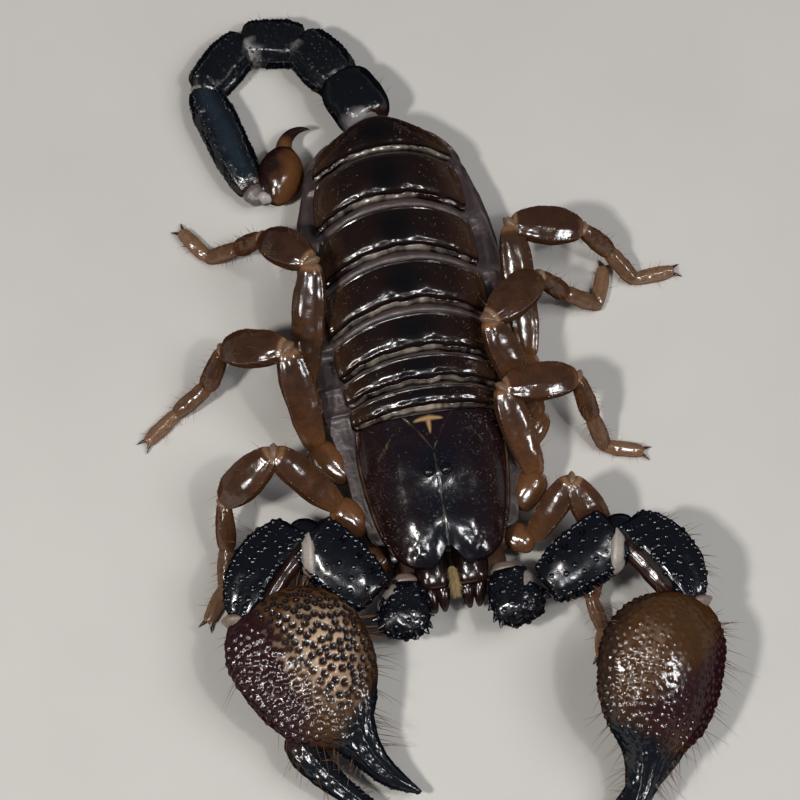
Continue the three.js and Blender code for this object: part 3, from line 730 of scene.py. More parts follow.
def suture(x, y):
    """Nearness, from 0 to 1, to the middle line and to the two sutures behind the eyes."""
    tip, rear = TRIANGLE["tip"], TRIANGLE["rear"]
    middle = bell(x, 0.08) * smoothstep(-y, -tip - 0.2, -tip + 0.4)
    arm = TRIANGLE["half"] * np.clip((y - tip) / (rear - tip), 0, 1.2) ** 1.25
    arms = bell(np.abs(x) - arm, 0.09) * smoothstep(y, tip - 0.1, tip + 0.5)
    return np.maximum(middle, arms * smoothstep(-y, 9.9, 10.4))


def carapace_surface(u, v):
    y = carapace_front(u) + (NECK - GAP - carapace_front(u)) * v
    x = u * plate_half(y) * (1 - 0.05 * (2 * v - 1) ** 4)
    out = np.abs(x)
    furrow = bell(x, 0.9) * smoothstep(-y, 19.5, 24)
    eye_mound = bell(x, 1.25) * bell(y - EYE["y"], 1.4)
    lobe = bell(out - 2.9, 2.2) * bell(y + 24.0, 1.7)
    brow = bell(y + 21.4, 2.0) * (1 - u ** 4)
    hollow = bell(out - 2.6, 0.8) * bell(y + 17.0, 2.6)
    groove = bell(out - 4.6 - 0.25 * (y + 14), 0.5) * bell(y + 13.6, 1.8)
    rim = 0.1 * bell(np.abs(u) - 0.985, 0.018) - 0.06 * bell(np.abs(u) - 0.94, 0.02)
    z = back_height(x, y, 3.4) - 0.35 * furrow + 0.5 * eye_mound + 0.65 * lobe + 0.5 * brow
    z += rim - 0.08 * hollow - 0.2 * groove - 0.05 * suture(x, y)
    place = stack(x, y, 0)
    z += 0.08 * lumps(place, 2.4, 1) * (1 - u ** 4) + 0.03 * lumps(place, 1.0, 4)
    z += 0.01 * lumps(place, 0.45, 2) + 0.05 * lobe * lumps(place, 0.5, 6)
    return stack(x, y, z)


def carapace_marks(u, v, top):
    """Brown sides, a blue middle, and the pale mark, sutures, rims and streaks."""
    x, y = top[..., 0], top[..., 1]
    out = np.abs(x)
    side = smoothstep(np.abs(u), 0.45, 0.95)
    blue = bell(x, 2.6) * smoothstep(-y, 12, 15) * (1 - side)
    bar = bell(y + 10.75 + 0.08 * x ** 2, 0.24 - 0.08 * out) * smoothstep(-out, -1.7, -1.1)
    stem = bell(x, 0.05 + 0.16 * smoothstep(y, -12.6, -11.2))
    stem = stem * smoothstep(y, -12.5, -12.0) * (y < -10.7)
    streak = bell(out - 4.4 + 0.75 * (y + 12.7), 0.3) * bell(y + 12.7, 1.4)
    speckled = 0.5 + 0.5 * lumps(top, 0.2, 4)
    rim = 0.22 * bell(np.abs(u) - 0.972, 0.012)
    pale = np.maximum(np.maximum(bar, stem), np.maximum(rim, 0.2 * suture(x, y)))
    return [side, blue, np.maximum(pale, 0.32 * streak * speckled)]


def carapace_share(u, points):
    """Where the grains of the carapace stay: beside the eyes and towards the flanks."""
    beside = bell(np.abs(points[:, 0]) - 1.2, 0.9) * bell(points[:, 1] + 18.5, 2.6)
    return np.maximum(beside, 0.12 + 0.33 * smoothstep(np.abs(u), 0.25, 0.7))


def carapace():
    piece = Piece()
    plate(piece, carapace_surface, carapace_marks, **CARAPACE_MESH)
    plate_grains(piece, carapace_surface, carapace_share, [0.4, 0.3, 0.1], **CARAPACE_GRAINS)
    for side in (RIGHT, LEFT):
        u = np.full(len(SIDE_EYES["along"]), side * SIDE_EYES["across"])
        points, normals = on_surface(carapace_surface, u, SIDE_EYES["along"])
        piece.beads(points, normals, SIDE_EYES["radius"], [0.0, 1.0, 0.0], flat=0.9)
    piece.build("carapace_shell", SHELL_LOOK, ["carapace"])


def eyes():
    for name, side in SIDES.items():
        height = back_height(EYE["apart"], EYE["y"]) + EYE["above"]
        centre = np.array([side * EYE["apart"], EYE["y"], height])

        def place(t, c, s):
            full = np.sqrt(1 - (2 * t - 1) ** 2)
            return centre + EYE["radius"] * stack(c * full, s * full, 2 * t - 1)

        piece = Piece()
        piece.grid(rings(place, 24, 32)[2])
        piece.build(f"eye_{name}", EYE_LOOK, [f"median_eye_{name}"])


def tergite_surface(index, start, length):
    """The top of a back plate: a front ridge, a rear hem, rims at its sides and two low bosses."""
    end = start + length

    def surface(u, v):
        station = stack(u * 7, v * 0, start)
        front = start - bow(start) * u * u + 0.16 * lumps(station, 1.0, 7) * (1 - v)
        y = front + (end - bow(end) * u * u - front) * v
        x = u * plate_half(y) * (1 - 0.05 * (2 * v - 1) ** 4)
        depth = v * length
        ridge = 0.28 * bell(depth - 0.3, 0.2) - 0.16 * bell(depth - 0.85, 0.3)
        ridge *= 1 + 0.6 * lumps(stack(u * 9, v * 0, start), 0.7, 3)
        rear = 0.05 * bell(depth - length + 0.18, 0.12) - 0.05 * bell(depth - length + 0.42, 0.15)
        rim = 0.09 * bell(np.abs(u) - 0.975, 0.02) - 0.06 * bell(np.abs(u) - 0.93, 0.025)
        boss = 0.2 * bell(np.abs(x) - 1.9, 0.75) * bell(v - 0.45, 0.22)
        boss -= 0.1 * bell(x, 0.9) * bell(v - 0.5, 0.3)
        place = stack(x, y, 0)
        z = back_height(x, y) + 0.15 * np.sin(np.pi * v) + ridge + rear + rim + boss
        return stack(x, y, z + 0.03 * lumps(place, 1.6, index) + 0.008 * lumps(place, 0.35, index))

    return surface


def tergite_marks(start, length):
    """Brown sides, a black centre, the pale rim at the hem, and the broken pale line at the front: a pale
    rim with a painted glint, brightest just left of the middle.
    """
    def marks(u, v, top):
        depth = v * length
        station = stack(u * 7, v * 0, start)
        side = smoothstep(np.abs(u), 0.5, 0.97) * smoothstep(depth, 0.4, 1.2)
        centre = bell(top[..., 0], 2.0 + 0.4 * lumps(top, 0.8, 9)) * bell(v - 0.55, 0.42)
        wave = lumps(station, 0.9, 5)
        patchy = 0.62 + 0.38 * lumps(station, 0.35, 8)
        # the pale front line is partly the plate's pale rim and partly a painted glint on the ridge,
        # brightest just left of the middle
        front = bell(depth - 0.12, 0.22 + 0.12 * wave) * (0.22 + 0.62 * bell(u + 0.1, 0.45))
        front = front * (1 + 0.8 * wave) * patchy
        hemmed = 0.3 * smoothstep(depth, length - 0.16, length - 0.06)
        return [side, centre, np.maximum(front, hemmed)]

    return marks


def tergite_share(u, points):
    """Where the grains of a back plate stay: more of them towards the flanks."""
    return smoothstep(np.abs(u), 0.1, 1.0)


def tergite(index, start, length):
    piece = Piece()
    surface = tergite_surface(index, start, length)
    rows = int(TERGITE_ROWS["least"] + TERGITE_ROWS["per_millimetre"] * length)
    plate(piece, surface, tergite_marks(start, length), TERGITE_COLUMNS, rows)
    plate_grains(piece, surface, tergite_share, [0.5, 0, 0.12], 20 + index, **TERGITE_GRAINS)
    piece.build(f"back_plate_{index}", PLATE_LOOK, [f"tergite_{index}"])


def back():
    carapace()
    eyes()
    start = NECK
    for index, (length, bare) in enumerate(BACK_PLATES, 1):
        tergite(index, start, length)
        start += length + bare


# ---------------- the belly
STERNITE_MESH = {"columns": 60, "rows": 24}
FIRST_STERNITE = 3
LAST_STERNITE = FIRST_STERNITE + BELLY_PLATES - 1
LUNG_SLIT = {"x": 4.4, "half": 0.9}


def sternite(index, front, rear):
    """A belly plate, with two lung slits in all but the last."""
    slit = 0.0 if index == LAST_STERNITE else 1.0

    def slit_at(x, v, width):
        return slit * bell(np.abs(x) - LUNG_SLIT["x"], LUNG_SLIT["half"]) * bell(v - 0.5, width)

    def surface(u, v):
        y = front + (rear - front) * v
        x = u * belly_half(y)
        rough = smoothstep(np.abs(x), 2.0, 4.0) * (1 + lumps(stack(x, y, 0), 1.2, index))
        return stack(x, y, belly_height(x, y) + 0.14 * slit_at(x, v, 0.07) + 0.02 * rough)

    def marks(u, v, top):
        return [smoothstep(v, 0.86, 0.98), slit_at(top[..., 0], v, 0.08)]

    piece = Piece()
    plate(piece, surface, marks, **STERNITE_MESH, down=1)
    piece.build(f"belly_plate_{index}", BELLY_LOOK, [f"sternite_{index}"])


def belly():
    step = (BODY_END - BELLY_START) / BELLY_PLATES
    for i in range(BELLY_PLATES):
        front = BELLY_START + i * step
        sternite(FIRST_STERNITE + i, front, front + step - GAP)


# ---------------- soft skin
TRUNK = {"front": -21.5, "rear": 21.3, "taper": 1.2}


def fold_centres():
    """Where the skin shows between two back plates, and how wide the strip is."""
    edge = NECK
    centres = []
    for length, bare in BACK_PLATES:
        edge += length
        if bare > 0:
            centres.append((edge + bare / 2, bare))
        edge += bare
    return centres


def trunk_top(x, y):
    """The skin under the back plates, which rises in the gaps between them."""
    under = SHELL + GAP + 0 * x
    for centre, bare in fold_centres():
        under -= (0.75 if bare > 0.6 else 0.4) * bell(y - centre, bare * 0.6 + 0.15)
    return back_height(x, y) - under


def trunk_floor(x, y):
    """The skin over the hips and the belly plates."""
    hips = HIP_TOP + GAP + 0.2 + 0 * x
    floor = np.where(y < BELLY_START - GAP, hips, belly_height(x, y) + SHELL + GAP + 0.2)
    return np.minimum(floor, waist(y) - 0.1)


def trunk(skin):
    front, rear = TRUNK["front"], TRUNK["rear"]
    y = np.linspace(front, rear, 260)[:, None]
    u = np.linspace(-1, 1, 110)[None, :]
    edge = plate_half(y)
    half = np.maximum(flesh_half(y), edge + 3 * GAP)
    x = half * np.sin(np.pi / 2 * u)
    inner = np.minimum(np.abs(x), edge)
    side = waist(y)
    bulge = np.sqrt(1 - np.clip((np.abs(x) - edge) / (half - edge), 0, 1) ** 2)
    top = side + (trunk_top(inner, y) - side) * bulge
    bottom = side - (side - trunk_floor(inner, y)) * bulge
    end = np.sqrt(np.clip(np.minimum(y - front, rear - y) / TRUNK["taper"], 0, 1)) * 0.999
    end = np.sqrt(np.clip(end * (2 - end), 0, 1))
    narrowed = x * (0.75 + 0.25 * end)
    upper = stack(narrowed, y - bow(y) * (inner / edge) ** 2, side + (top - side) * end)
    lower = stack(narrowed, y, side + (bottom - side) * end)
    ring = np.concatenate([upper, lower[:, -2:0:-1]], axis=1)
    crease = np.abs(lumps(ring * [1, 0.45, 1.3], 0.9, 3)) + 0.5 * np.abs(lumps(ring, 0.4, 5))
    skin.grid(raised(ring, -0.12 * crease))


def collar(skin, centre, axis, width, height, reach=0.9, pale=1.0, amber=0.0):
    """Joint skin: a soft bead where two segments meet."""
    axis = unit(np.asarray(axis, float))
    across, over = level_axes(axis)

    def place(t, c, s):
        full = np.sqrt(np.maximum(0, 1 - (2 * t - 1) ** 2)) * (1 + 0.05 * np.cos(14 * t))
        wide, tall = width / 2 * full * c, height / 2 * full * s
        return moved(centre, ((2 * t - 1) * reach, axis), (wide, across), (tall, over))

    points = rings(place, 16, 24)[2]
    skin.grid(raised(points, 0.07 * lumps(points, 0.6, 2)), [pale, amber])


# ---------------- limbs: shared forms
def segment(
    start, end, wide, tall, girth=1.0, arch=0.0, sway=0.0, blunt=3.5, lap=0.0, square=1.0, rows=44, sides=40,
):
    """A tapered segment between two joints. Returns its stations, angles and rings of points."""
    start, end = np.asarray(start, float), np.asarray(end, float)
    lead = unit(end - start) * lap
    start, end = start - lead, end + lead
    length = np.linalg.norm(end - start)
    axis = (end - start) / length
    across, over = level_axes(axis)
    width, height = spread(np.array(wide) * girth), spread(np.array(tall) * girth)

    def place(t, c, s):
        full = fullness(t, blunt)
        hump = 4 * t * (1 - t)
        side = width(t) / 2 * full * squared(c, square) + sway * hump
        rise = height(t) / 2 * full * squared(s, square) + arch * hump
        points = moved(start, (t * length, axis), (side, across), (rise, over))
        points[..., 2] = np.maximum(points[..., 2], 0)
        return points

    return rings(place, rows, sides)


def keel(angle, at, width):
    """A ridge along a segment, at an angle in degrees: 0 is its left edge seen from its tip, 90 its top."""
    away = (angle - at * DEG + math.pi) % (2 * math.pi) - math.pi
    return bell(away, width * DEG)


def keeled(points, angle, keels, width, height):
    """Raises a ridge at each angle, one after another."""
    for at in keels:
        points = raised(points, height * keel(angle, at, width))
    return points


def row_of_beads(piece, points, at, t_from, t_to, count, radius, marks=(), jitter=0.25, seed=0):
    """Beads along a segment at an angle in degrees."""
    random = np.random.default_rng(seed)
    rows, sides = points.shape[:2]
    share = np.linspace(t_from, t_to, count) + random.uniform(-0.3, 0.3, count) * (t_to - t_from) / count
    row = ring_row(share, rows)
    column = ring_column(at + 3.6 * jitter * random.normal(0, 1, count), sides)
    size = radius * random.uniform(0.75, 1.2, count)
    piece.beads(points[row, column], ring_normals(points)[row, column], size, marks)


def grains(piece, points, random, layers, marks, wanted=None, share=1.0):
    """Beads scattered over rings of points, in layers of a spacing, least and most radius, and seed."""
    centres, normals = points.reshape(-1, 3), ring_normals(points).reshape(-1, 3)
    here = None if wanted is None else wanted.reshape(-1)
    for spacing, least, most, seed in layers:
        chosen = scatter(centres, spacing, seed, here)
        if share < 1:
            chosen = chosen[random.uniform(0, 1, len(chosen)) < share]
        piece.beads(centres[chosen], normals[chosen], random.uniform(least, most, len(chosen)), marks)


def hairs_on(coat, points, hairs, seed, t_span=(0.1, 0.95), angles=None, lean=0.5, cell=0):
    """Bristles on a segment, leaning towards its tip. Each keeps its root's place for OFBake."""
    count, length, thick = hairs
    random = np.random.default_rng(seed)
    rows, sides = points.shape[:2]
    row = ring_row(random.uniform(*t_span, count), rows)
    if angles is None:
        column = random.integers(0, sides, count)
    else:
        centre = random.choice(angles, count)
        column = ring_column(centre + random.normal(0, 9, count), sides)
    along = unit(np.gradient(points, axis=0) + 1e-9)
    roots = points[row, column]
    direction = ring_normals(points)[row, column] + lean * along[row, column]
    keep = (roots[:, 2] > 0.12) & (roots[:, 2] + direction[:, 2] * length > 0.0)
    tile = np.array([cell % 12, (cell // 12) % 12])
    bake = (tile + 0.04 + 0.9 * np.stack([column / sides, row / rows], -1)) / 12
    lengths = length * random.uniform(0.5, 1.25, count)
    coat.bristles(roots[keep], direction[keep], lengths[keep], thick, 0.2, seed, bake[keep])


def horn(start, direction, bend, length, thick):
    """A curved cone from start, which bends towards bend as it narrows."""
    direction = unit(np.asarray(direction, float))
    across = unit(np.cross(direction, UP) + 1e-6)
    over = np.cross(across, direction)

    def place(t, c, s):
        radius = thick * (1 - t) ** 0.7 * np.minimum(1, 4 * t + 0.3)
        return moved(
            start, (t * length, direction), (t ** 2 * length, np.array(bend)), (radius * c, across),
            (radius * s, over),
        )

    return rings(place, 16, 12)[2]


def tooth(piece, points, share, at, lean, sunk, bend, length, thick):
    """A horn on a segment, at a share of its length and an angle around it."""
    rows, sides = points.shape[:2]
    row, column = ring_row(share, rows), ring_column(at, sides)
    normal = ring_normals(points)[row, column]
    root = points[row, column] - sunk * normal
    piece.grid(horn(root, normal + lean, [0, 0, bend], length, thick))


# ---------------- tail
LAST_RING = 4
# angles round a tail ring at which its keels run
TAIL_KEELS = {
    "last": (48, 132, 8, 172, -35, 215, -90),
    "rest": (55, 125, 20, 160, -28, 208, -68, 248),
}
RING_FINISH = {
    "first": {"sharp": 0.4, "rough": 0.02, "grains": 0.2},
    "rest": {"sharp": 1.0, "rough": 0.05, "grains": 0.8},
}
# stations at which pale skin covers the inner side of a ring
TAIL_SKIN = {0: (0.0,), 1: (1.0,), 2: (0.0, 0.85), 3: (0.0,)}
# size, shift to the inside of the bend, reach and paleness of the joint skin, from the body outwards
TAIL_COLLARS = [
    (3.6, 0.3, 0.7, 0.35), (3.9, 0.3, 0.7, 0.35), (3.7, 0.9, 1.2, 0.55),
    (3.4, 0.9, 1.2, 0.55), (3.3, 0.3, 0.7, 0.35), (2.7, 0.3, 0.7, 0.35),
]
TAIL_HAIRS = (10, 0.9, 0.025)
BULB_FORM = {
    "wide": [3.2, 4.5, 4.6, 3.2], "tall": [3.2, 4.2, 4.3, 3.0],
    "blunt": 2.4, "rows": 90, "sides": 90,
}
BULB_NECK = {"wide": [1.8, 2.0, 2.4], "tall": [1.8, 2.0, 2.4]}
# where the pale skin at the bulb's joint lies: offset, bearing and size
BULB_COLLARS = [
    ([0.4, -0.5, 0.0], -60, {"width": 2.6, "height": 2.2, "reach": 1.4, "pale": 0.15}),
    ([1.3, -1.3, 0.4], -20, {"width": 1.2, "height": 1.5, "reach": 0.9, "pale": 1.0}),
]


def tail_joints():
    joints = [TAIL_ROOT]
    for part in TAIL:
        joints.append(joints[-1] + heading(part["bearing"], part["slope"]) * part["length"])
    return joints


def tail_form(index, joints, keels, finish):
    wide, tall = TAIL[index]["size"]
    long = index == LAST_RING
    taper = np.array([0.9, 1, 1, 0.95, 0.8] if long else [0.9, 1.02, 1, 0.9])
    t, angle, points = segment(
        joints[index], joints[index + 1], taper * wide, taper * tall,
        blunt=5.5, lap=0.3, square=0.92, rows=150 if long else 100, sides=120,
    )
    middle = fullness(t, 6)
    height = finish["sharp"] * 0.11 * sum(keel(angle, at, 8) for at in keels)
    points = raised(points, (height - 0.08 * keel(angle, 90, 20)) * middle)
    points = raised(points, 0.1 * lumps(points, 1.5, index) * middle)
    return t, angle, rough_up(points, 0.55, finish["rough"], index)


def tail_ring(index, joints):
    long = index == LAST_RING
    keels = TAIL_KEELS["last" if long else "rest"]
    finish = RING_FINISH["first" if index == 0 else "rest"]
    t, angle, points = tail_form(index, joints, keels, finish)
    # a painted bluish sheen along the top of the last ring
    painted_sheen = 0.7 * keel(angle, 90, 28) if long else 0
    ends = smoothstep(t, 0.9, 0.97) if long else 0.8 * smoothstep(np.abs(2 * t - 1), 0.86, 1.0)
    inner = smoothstep(0.45 * np.sin(angle) - np.cos(angle) + 0.25 * lumps(points, 0.9, 6), 0.5, 0.8)
    skin_at = sum(bell(t - at, 0.16) for at in TAIL_SKIN.get(index, ()))
    piece = Piece()
    piece.grid(points, [painted_sheen, ends, 0.9 * inner * skin_at])
    count = int(TAIL[index]["length"] * 2.6)
    for k, at in enumerate(keels):
        row_of_beads(piece, points, at, 0.07, 0.9, count, 0.15 * finish["sharp"], [0.2], 1.0, index * 10 + k)
    random = np.random.default_rng(70 + index)
    grains(piece, points, random, [(0.5, 0.05, 0.11, index)], [0.2], t < 0.92, finish["grains"])
    piece.build(f"tail_ring_{index + 1}", TAIL_LOOK, [f"metasoma_{index + 1}"])
    return points


def sting_bulb(joints):
    """The bulb, dark on one side and at its tip, with its narrow neck. Returns its tip."""
    ahead = heading(BULB["bearing"])
    root = joints[5] + np.array(BULB["offset"], float)
    tip = root + ahead * BULB["length"]
    t, angle, points = segment(root, tip, **BULB_FORM)
    points = rough_up(points, 1.1, 0.05, 3)
    split = 0.2 * np.sin(angle) - np.cos(angle) + 0.3 * lumps(points, 1.2, 8)
    piece = Piece()
    piece.grid(points, [np.maximum(smoothstep(split, -0.3, 0.7), smoothstep(t, 0.8, 0.95))])
    piece.grid(segment(joints[5], root + ahead * BULB["neck"], **BULB_NECK)[2], [1.0])
    grains(piece, points, np.random.default_rng(9), [(0.8, 0.04, 0.08, 3)], [0.2])
    piece.build("sting_bulb", STING_LOOK, ["vesicle"])
    return tip


def sting(tip):
    """The thorn, which narrows along an arc."""
    turn = STING["end"] - STING["start"]
    arc = STING["length"] / (turn * DEG)
    start = tip - heading(BULB["bearing"]) * STING["sunk"]
    centre = start - heading(STING["start"] - 90) * arc

    def place(t, c, s):
        bearing = (STING["start"] + turn * t - 90) * DEG
        out = stack(np.cos(bearing), np.sin(bearing), 0)
        radius = STING["thick"] * (1 - t) ** 0.75 * np.minimum(1, 5 * t + 0.5) + 0.05 * (1 - t)
        return moved(centre, (arc + radius * c, out), (radius * s, UP))

    t, _, points = rings(place, 50, 28)
    piece = Piece()
    piece.grid(points, [smoothstep(t, 0.15, 0.5)])
    piece.build("sting", STING_LOOK, ["aculeus"])


def tail(skin, coat):
    joints = tail_joints()
    forms = [tail_ring(index, joints) for index in range(len(TAIL))]
    for index, points in enumerate(forms):
        hairs_on(coat, points, TAIL_HAIRS, 300 + index, angles=[5, 175], cell=index)
    sting(sting_bulb(joints))
    middle = np.mean(joints, axis=0)
    for index, (size, shift, reach, pale) in enumerate(TAIL_COLLARS):
        before = heading(TAIL[max(index - 1, 0)]["bearing"])
        after = heading(TAIL[min(index, LAST_RING)]["bearing"])
        inward = unit((middle - joints[index]) * [1, 1, 0]) * shift
        collar(skin, joints[index] + inward, before + after, size * 0.92, size * 0.9, reach, pale)
    for offset, bearing, form in BULB_COLLARS:
        collar(skin, joints[5] + offset, heading(bearing), **form)


# ---------------- legs
TROCHANTER = {"wide": [2.9, 3.4, 3.2], "tall": [2.4, 2.7, 2.6], "lap": 0.5, "rows": 40}
FEMUR = {
    "wide": [2.4, 3.1, 3.4, 2.8], "tall": [2.0, 2.5, 2.6, 2.4],
    "blunt": 4, "square": 0.86, "rows": 100, "sides": 60,
}
PATELLA = {
    "wide": [2.5, 3.7, 3.8, 2.5], "tall": [2.2, 2.7, 2.6, 1.9],
    "arch": 0.3, "blunt": 4.2, "square": 0.86, "rows": 100, "sides": 60,
}
# tibia, basitarsus and telotarsus
FOOT_MESH = {"rows": 60, "sides": 36}
FOOT = [
    {"wide": [1.5, 2.0, 2.2], "tall": [1.6, 1.9, 1.9], "lap": 0.35, "blunt": 4},
    {"wide": [1.6, 1.8, 1.6], "tall": [1.5, 1.5, 1.4], "lap": 0.35, "blunt": 4},
    {"wide": [1.3, 1.6, 1.35], "tall": [1.4, 1.45, 1.35], "lap": 0.2, "blunt": 5},
]
# bristles are given by their count, length and thickness
THIGH_HAIRS = (16, 1.1, 0.026)
KNEE_HAIRS = (14, 1.1, 0.026)
FOOT_HAIRS = [(30, 0.95, 0.026), (30, 0.95, 0.026), (20, 0.95, 0.026)]
# spines under the foot: bristles, seed, where they begin and the angles they stand at
FOOT_SPINES = [
    ((9, 0.7, 0.05), 5, 0.3, [-60, -120]),
    ((9, 0.7, 0.05), 6, 0.3, [-60, -120]),
    ((12, 0.45, 0.06), 9, 0.2, [-50, -130]),
]
# width, reach, paleness and amber tone of the joint skin, from the hip outwards
LEG_COLLARS = [
    (2.2, 0.5, 0.3, 0.6), (1.9, 0.5, 0.35, 0.7), (1.65, 0.45, 0.3, 0.6),
    (1.4, 0.35, 0.2, 0.7), (1.1, 0.3, 0.15, 0.7),
]
CLAW = {"splay": 26, "rise": 20, "bend": -0.55, "length": 1.75, "thick": 0.27}


def leg_joints(name):
    side, pair = name.split("_")
    plan = LEG_PAIRS[int(pair)]
    pose = LEG_POSES[name]
    joints = [on_side(plan["hip"], SIDES[side])]
    for i, length in enumerate(plan["lengths"]):
        drop = max(-1, min(0, (FOOT_HEIGHT - joints[-1][2]) / length))
        slope = pose["slopes"][i] if i < 3 else math.asin(drop) / DEG
        joints.append(joints[-1] + heading(pose["bearings"][i], slope) * length)
    return joints


def edge_tone(angle, edges):
    return 0.5 * np.maximum(*(keel(angle, at, 12) for at in edges))


def leg_thigh(name, number, plan, root, joints):
    """The short trochanter and the long femur, as one piece."""
    piece = Piece()
    edges = (35, 145)
    t, _, points = segment(root, joints[0], girth=plan["girth"], **TROCHANTER)
    points = rough_up(points, 1.1, 0.07, number)
    piece.grid(points, [0.1, 0.45 * smoothstep(t, 0.1, 0.5), 0.1 * bell(t - 0.55, 0.2)])
    t, angle, femur = segment(joints[0], joints[1], girth=plan["girth"], **FEMUR)
    middle = fullness(t, 5)
    femur = keeled(femur, angle, (*edges, -40, 220), 8, 0.11 * middle)
    femur = raised(femur, 0.09 * lumps(femur, 1.7, number + 3) * middle)
    femur = rough_up(femur, 0.7, 0.03, number)
    shade = plan["dark"] + 0.35 * smoothstep(t, 0.45, 0.95) + 0.2 * np.sin(angle)
    amber = np.maximum(bell(t - 1, 0.06), 0.55 * smoothstep(-t, -0.45, 0.0))
    piece.grid(femur, [np.maximum(shade, edge_tone(angle, edges)), amber, 0.4 * bell(t - 0.97, 0.025)])
    for k, at in enumerate(edges):
        row_of_beads(piece, femur, at, 0.08, 0.93, 22, 0.085, [plan["dark"], 0.1, 0.1], seed=number + k)
    piece.build(f"leg_{name}_thigh_shell", LEG_LOOK, [f"leg_{name}_thigh"])
    return femur


def leg_knee(name, number, plan, joints):
    """The patella."""
    piece = Piece()
    edges = (28, 152)
    t, angle, patella = segment(joints[1], joints[2], girth=plan["girth"], **PATELLA)
    middle = fullness(t, 5)
    patella = keeled(patella, angle, edges, 8, 0.12 * middle)
    patella = keeled(patella, angle, (75,), 8, 0.06 * middle)
    patella = raised(patella, 0.09 * lumps(patella, 1.6, number + 31) * middle)
    patella = rough_up(patella, 0.6, 0.03, number + 40)
    shade = 0.25 + plan["dark"] + 0.2 * np.sin(angle)
    amber = 0.9 * np.maximum(bell(t - 1, 0.07), bell(t, 0.06))
    piece.grid(patella, [np.maximum(shade, edge_tone(angle, edges)), amber, 0.7 * bell(t - 0.035, 0.025)])
    for k, at in enumerate(edges):
        row_of_beads(piece, patella, at, 0.1, 0.9, 16, 0.085, [plan["dark"], 0.1, 0.1], seed=number + k)
    piece.build(f"leg_{name}_knee_shell", LEG_LOOK, [f"leg_{name}_knee"])
    return patella


def leg_foot(name, number, plan, joints, coat):
    """The three segments of the foot, as one piece, paler towards the tip."""
    piece = Piece()
    for k, form in enumerate(FOOT):
        t, angle, points = segment(joints[2 + k], joints[3 + k], girth=plan["girth"], **FOOT_MESH, **form)
        points = raised(points, 0.07 * keel(angle, 90, 14) * fullness(t, 5))
        points = rough_up(points, 0.7, 0.06, number + 60 + k)
        amber = np.maximum(bell(t - 1, 0.1), 0.8 * bell(t, 0.12))
        piece.grid(points, [0.2 + 0.25 * keel(angle, 90, 30), np.maximum(amber, 0.25 * k), 0.25 * k])
        row_of_beads(piece, points, 60, 0.1, 0.9, 9, 0.07, [0.3, 0.4, 0.1], seed=number + k)
        cell = 20 + number * 3 + k
        hairs_on(coat, points, FOOT_HAIRS[k], number * 10 + k, cell=cell)
        spines, seed, start, angles = FOOT_SPINES[k]
        hairs_on(coat, points, spines, number * 10 + seed, (start, 0.95), angles, 0.9, cell)
    piece.build(f"leg_{name}_foot_shell", LEG_LOOK, [f"leg_{name}_foot"])


def leg_claws(name, joints):
    ahead = unit((joints[5] - joints[4]) * [1, 1, 0])
    bearing = math.atan2(ahead[1], ahead[0]) / DEG
    start = joints[5] - ahead * 0.5 + [0, 0, -0.05]
    piece = Piece()
    for splay in (-CLAW["splay"], CLAW["splay"]):
        direction = heading(bearing + splay, CLAW["rise"])
        piece.grid(horn(start, direction, [0, 0, CLAW["bend"]], CLAW["length"], CLAW["thick"]))
    piece.build(f"leg_{name}_claws", CLAW_LOOK)


def leg(name, number, skin, coat):
    side, pair = name.split("_")
    plan = LEG_PAIRS[int(pair)]
    girth = plan["girth"]
    joints = leg_joints(name)
    root = on_side(HIP_ENDS[int(pair)], SIDES[side])
    femur = leg_thigh(name, number, plan, root, joints)
    patella = leg_knee(name, number, plan, joints)
    leg_foot(name, number, plan, joints, coat)
    leg_claws(name, joints)
    for form, hairs in ((femur, THIGH_HAIRS), (patella, KNEE_HAIRS)):
        hairs_on(coat, form, hairs, number * 7 + hairs[0], cell=60 + number)
    places = [root, *joints]
    for k, (width, reach, pale, amber) in enumerate(LEG_COLLARS, 1):
        axis = unit(places[k] - places[k - 1]) + unit(places[k + 1] - places[k])
        collar(skin, places[k], axis, width * girth, width * girth * 0.87, reach * girth, pale, amber)


def legs(skin, coat):
    for number, name in enumerate(LEG_POSES):
        leg(name, number, skin, coat)


# ---------------- arms
KNOB = {
    "wide": [3.8, 5.0, 4.8], "tall": [3.6, 4.4, 3.8],
    "blunt": 3.6, "square": 0.82, "rows": 80, "sides": 80,
}
UPPER_ARM = {
    "wide": [4.6, 5.6, 6.1, 5.8], "tall": [3.4, 4.2, 4.4, 4.0],
    "blunt": 6, "square": 0.86, "rows": 120, "sides": 120,
}
FOREARM = {
    "wide": [5.2, 6.0, 5.8, 4.0], "tall": [3.8, 4.7, 4.6, 3.6],
    "blunt": 4.5, "square": 0.88, "rows": 140, "sides": 130,
}
ELBOW = {"wide": [3.4, 4.0, 3.4], "tall": [3.0, 3.6, 3.0], "blunt": 2.2}
ELBOW_REACH = 1.7
ELBOW_DROP = 0.3
ARM_COLLARS = {
    "root": {"width": 3.0, "height": 3.0, "reach": 0.8, "pale": 0.35, "amber": 0.3},
    "shoulder": {"width": 3.3, "height": 3.3, "reach": 0.6, "pale": 0.5},
    "elbow": {"width": 4.6, "height": 4.0, "reach": 0.95},
    "wrist": {"width": 3.3, "height": 2.8, "reach": 0.8, "pale": 0.4, "amber": 0.4},
}
# layers of grains: their spacing, least and most radius, and seed
KNOB_GRAINS = ((0.45, 0.06, 0.12, 4), (1.1, 0.22, 0.36, 5))
UPPER_GRAINS = ((0.85, 0.06, 0.13, 6), (1.05, 0.2, 0.34, 7))
FORE_GRAINS = ((0.85, 0.06, 0.12, 8), (1.1, 0.18, 0.3, 9))
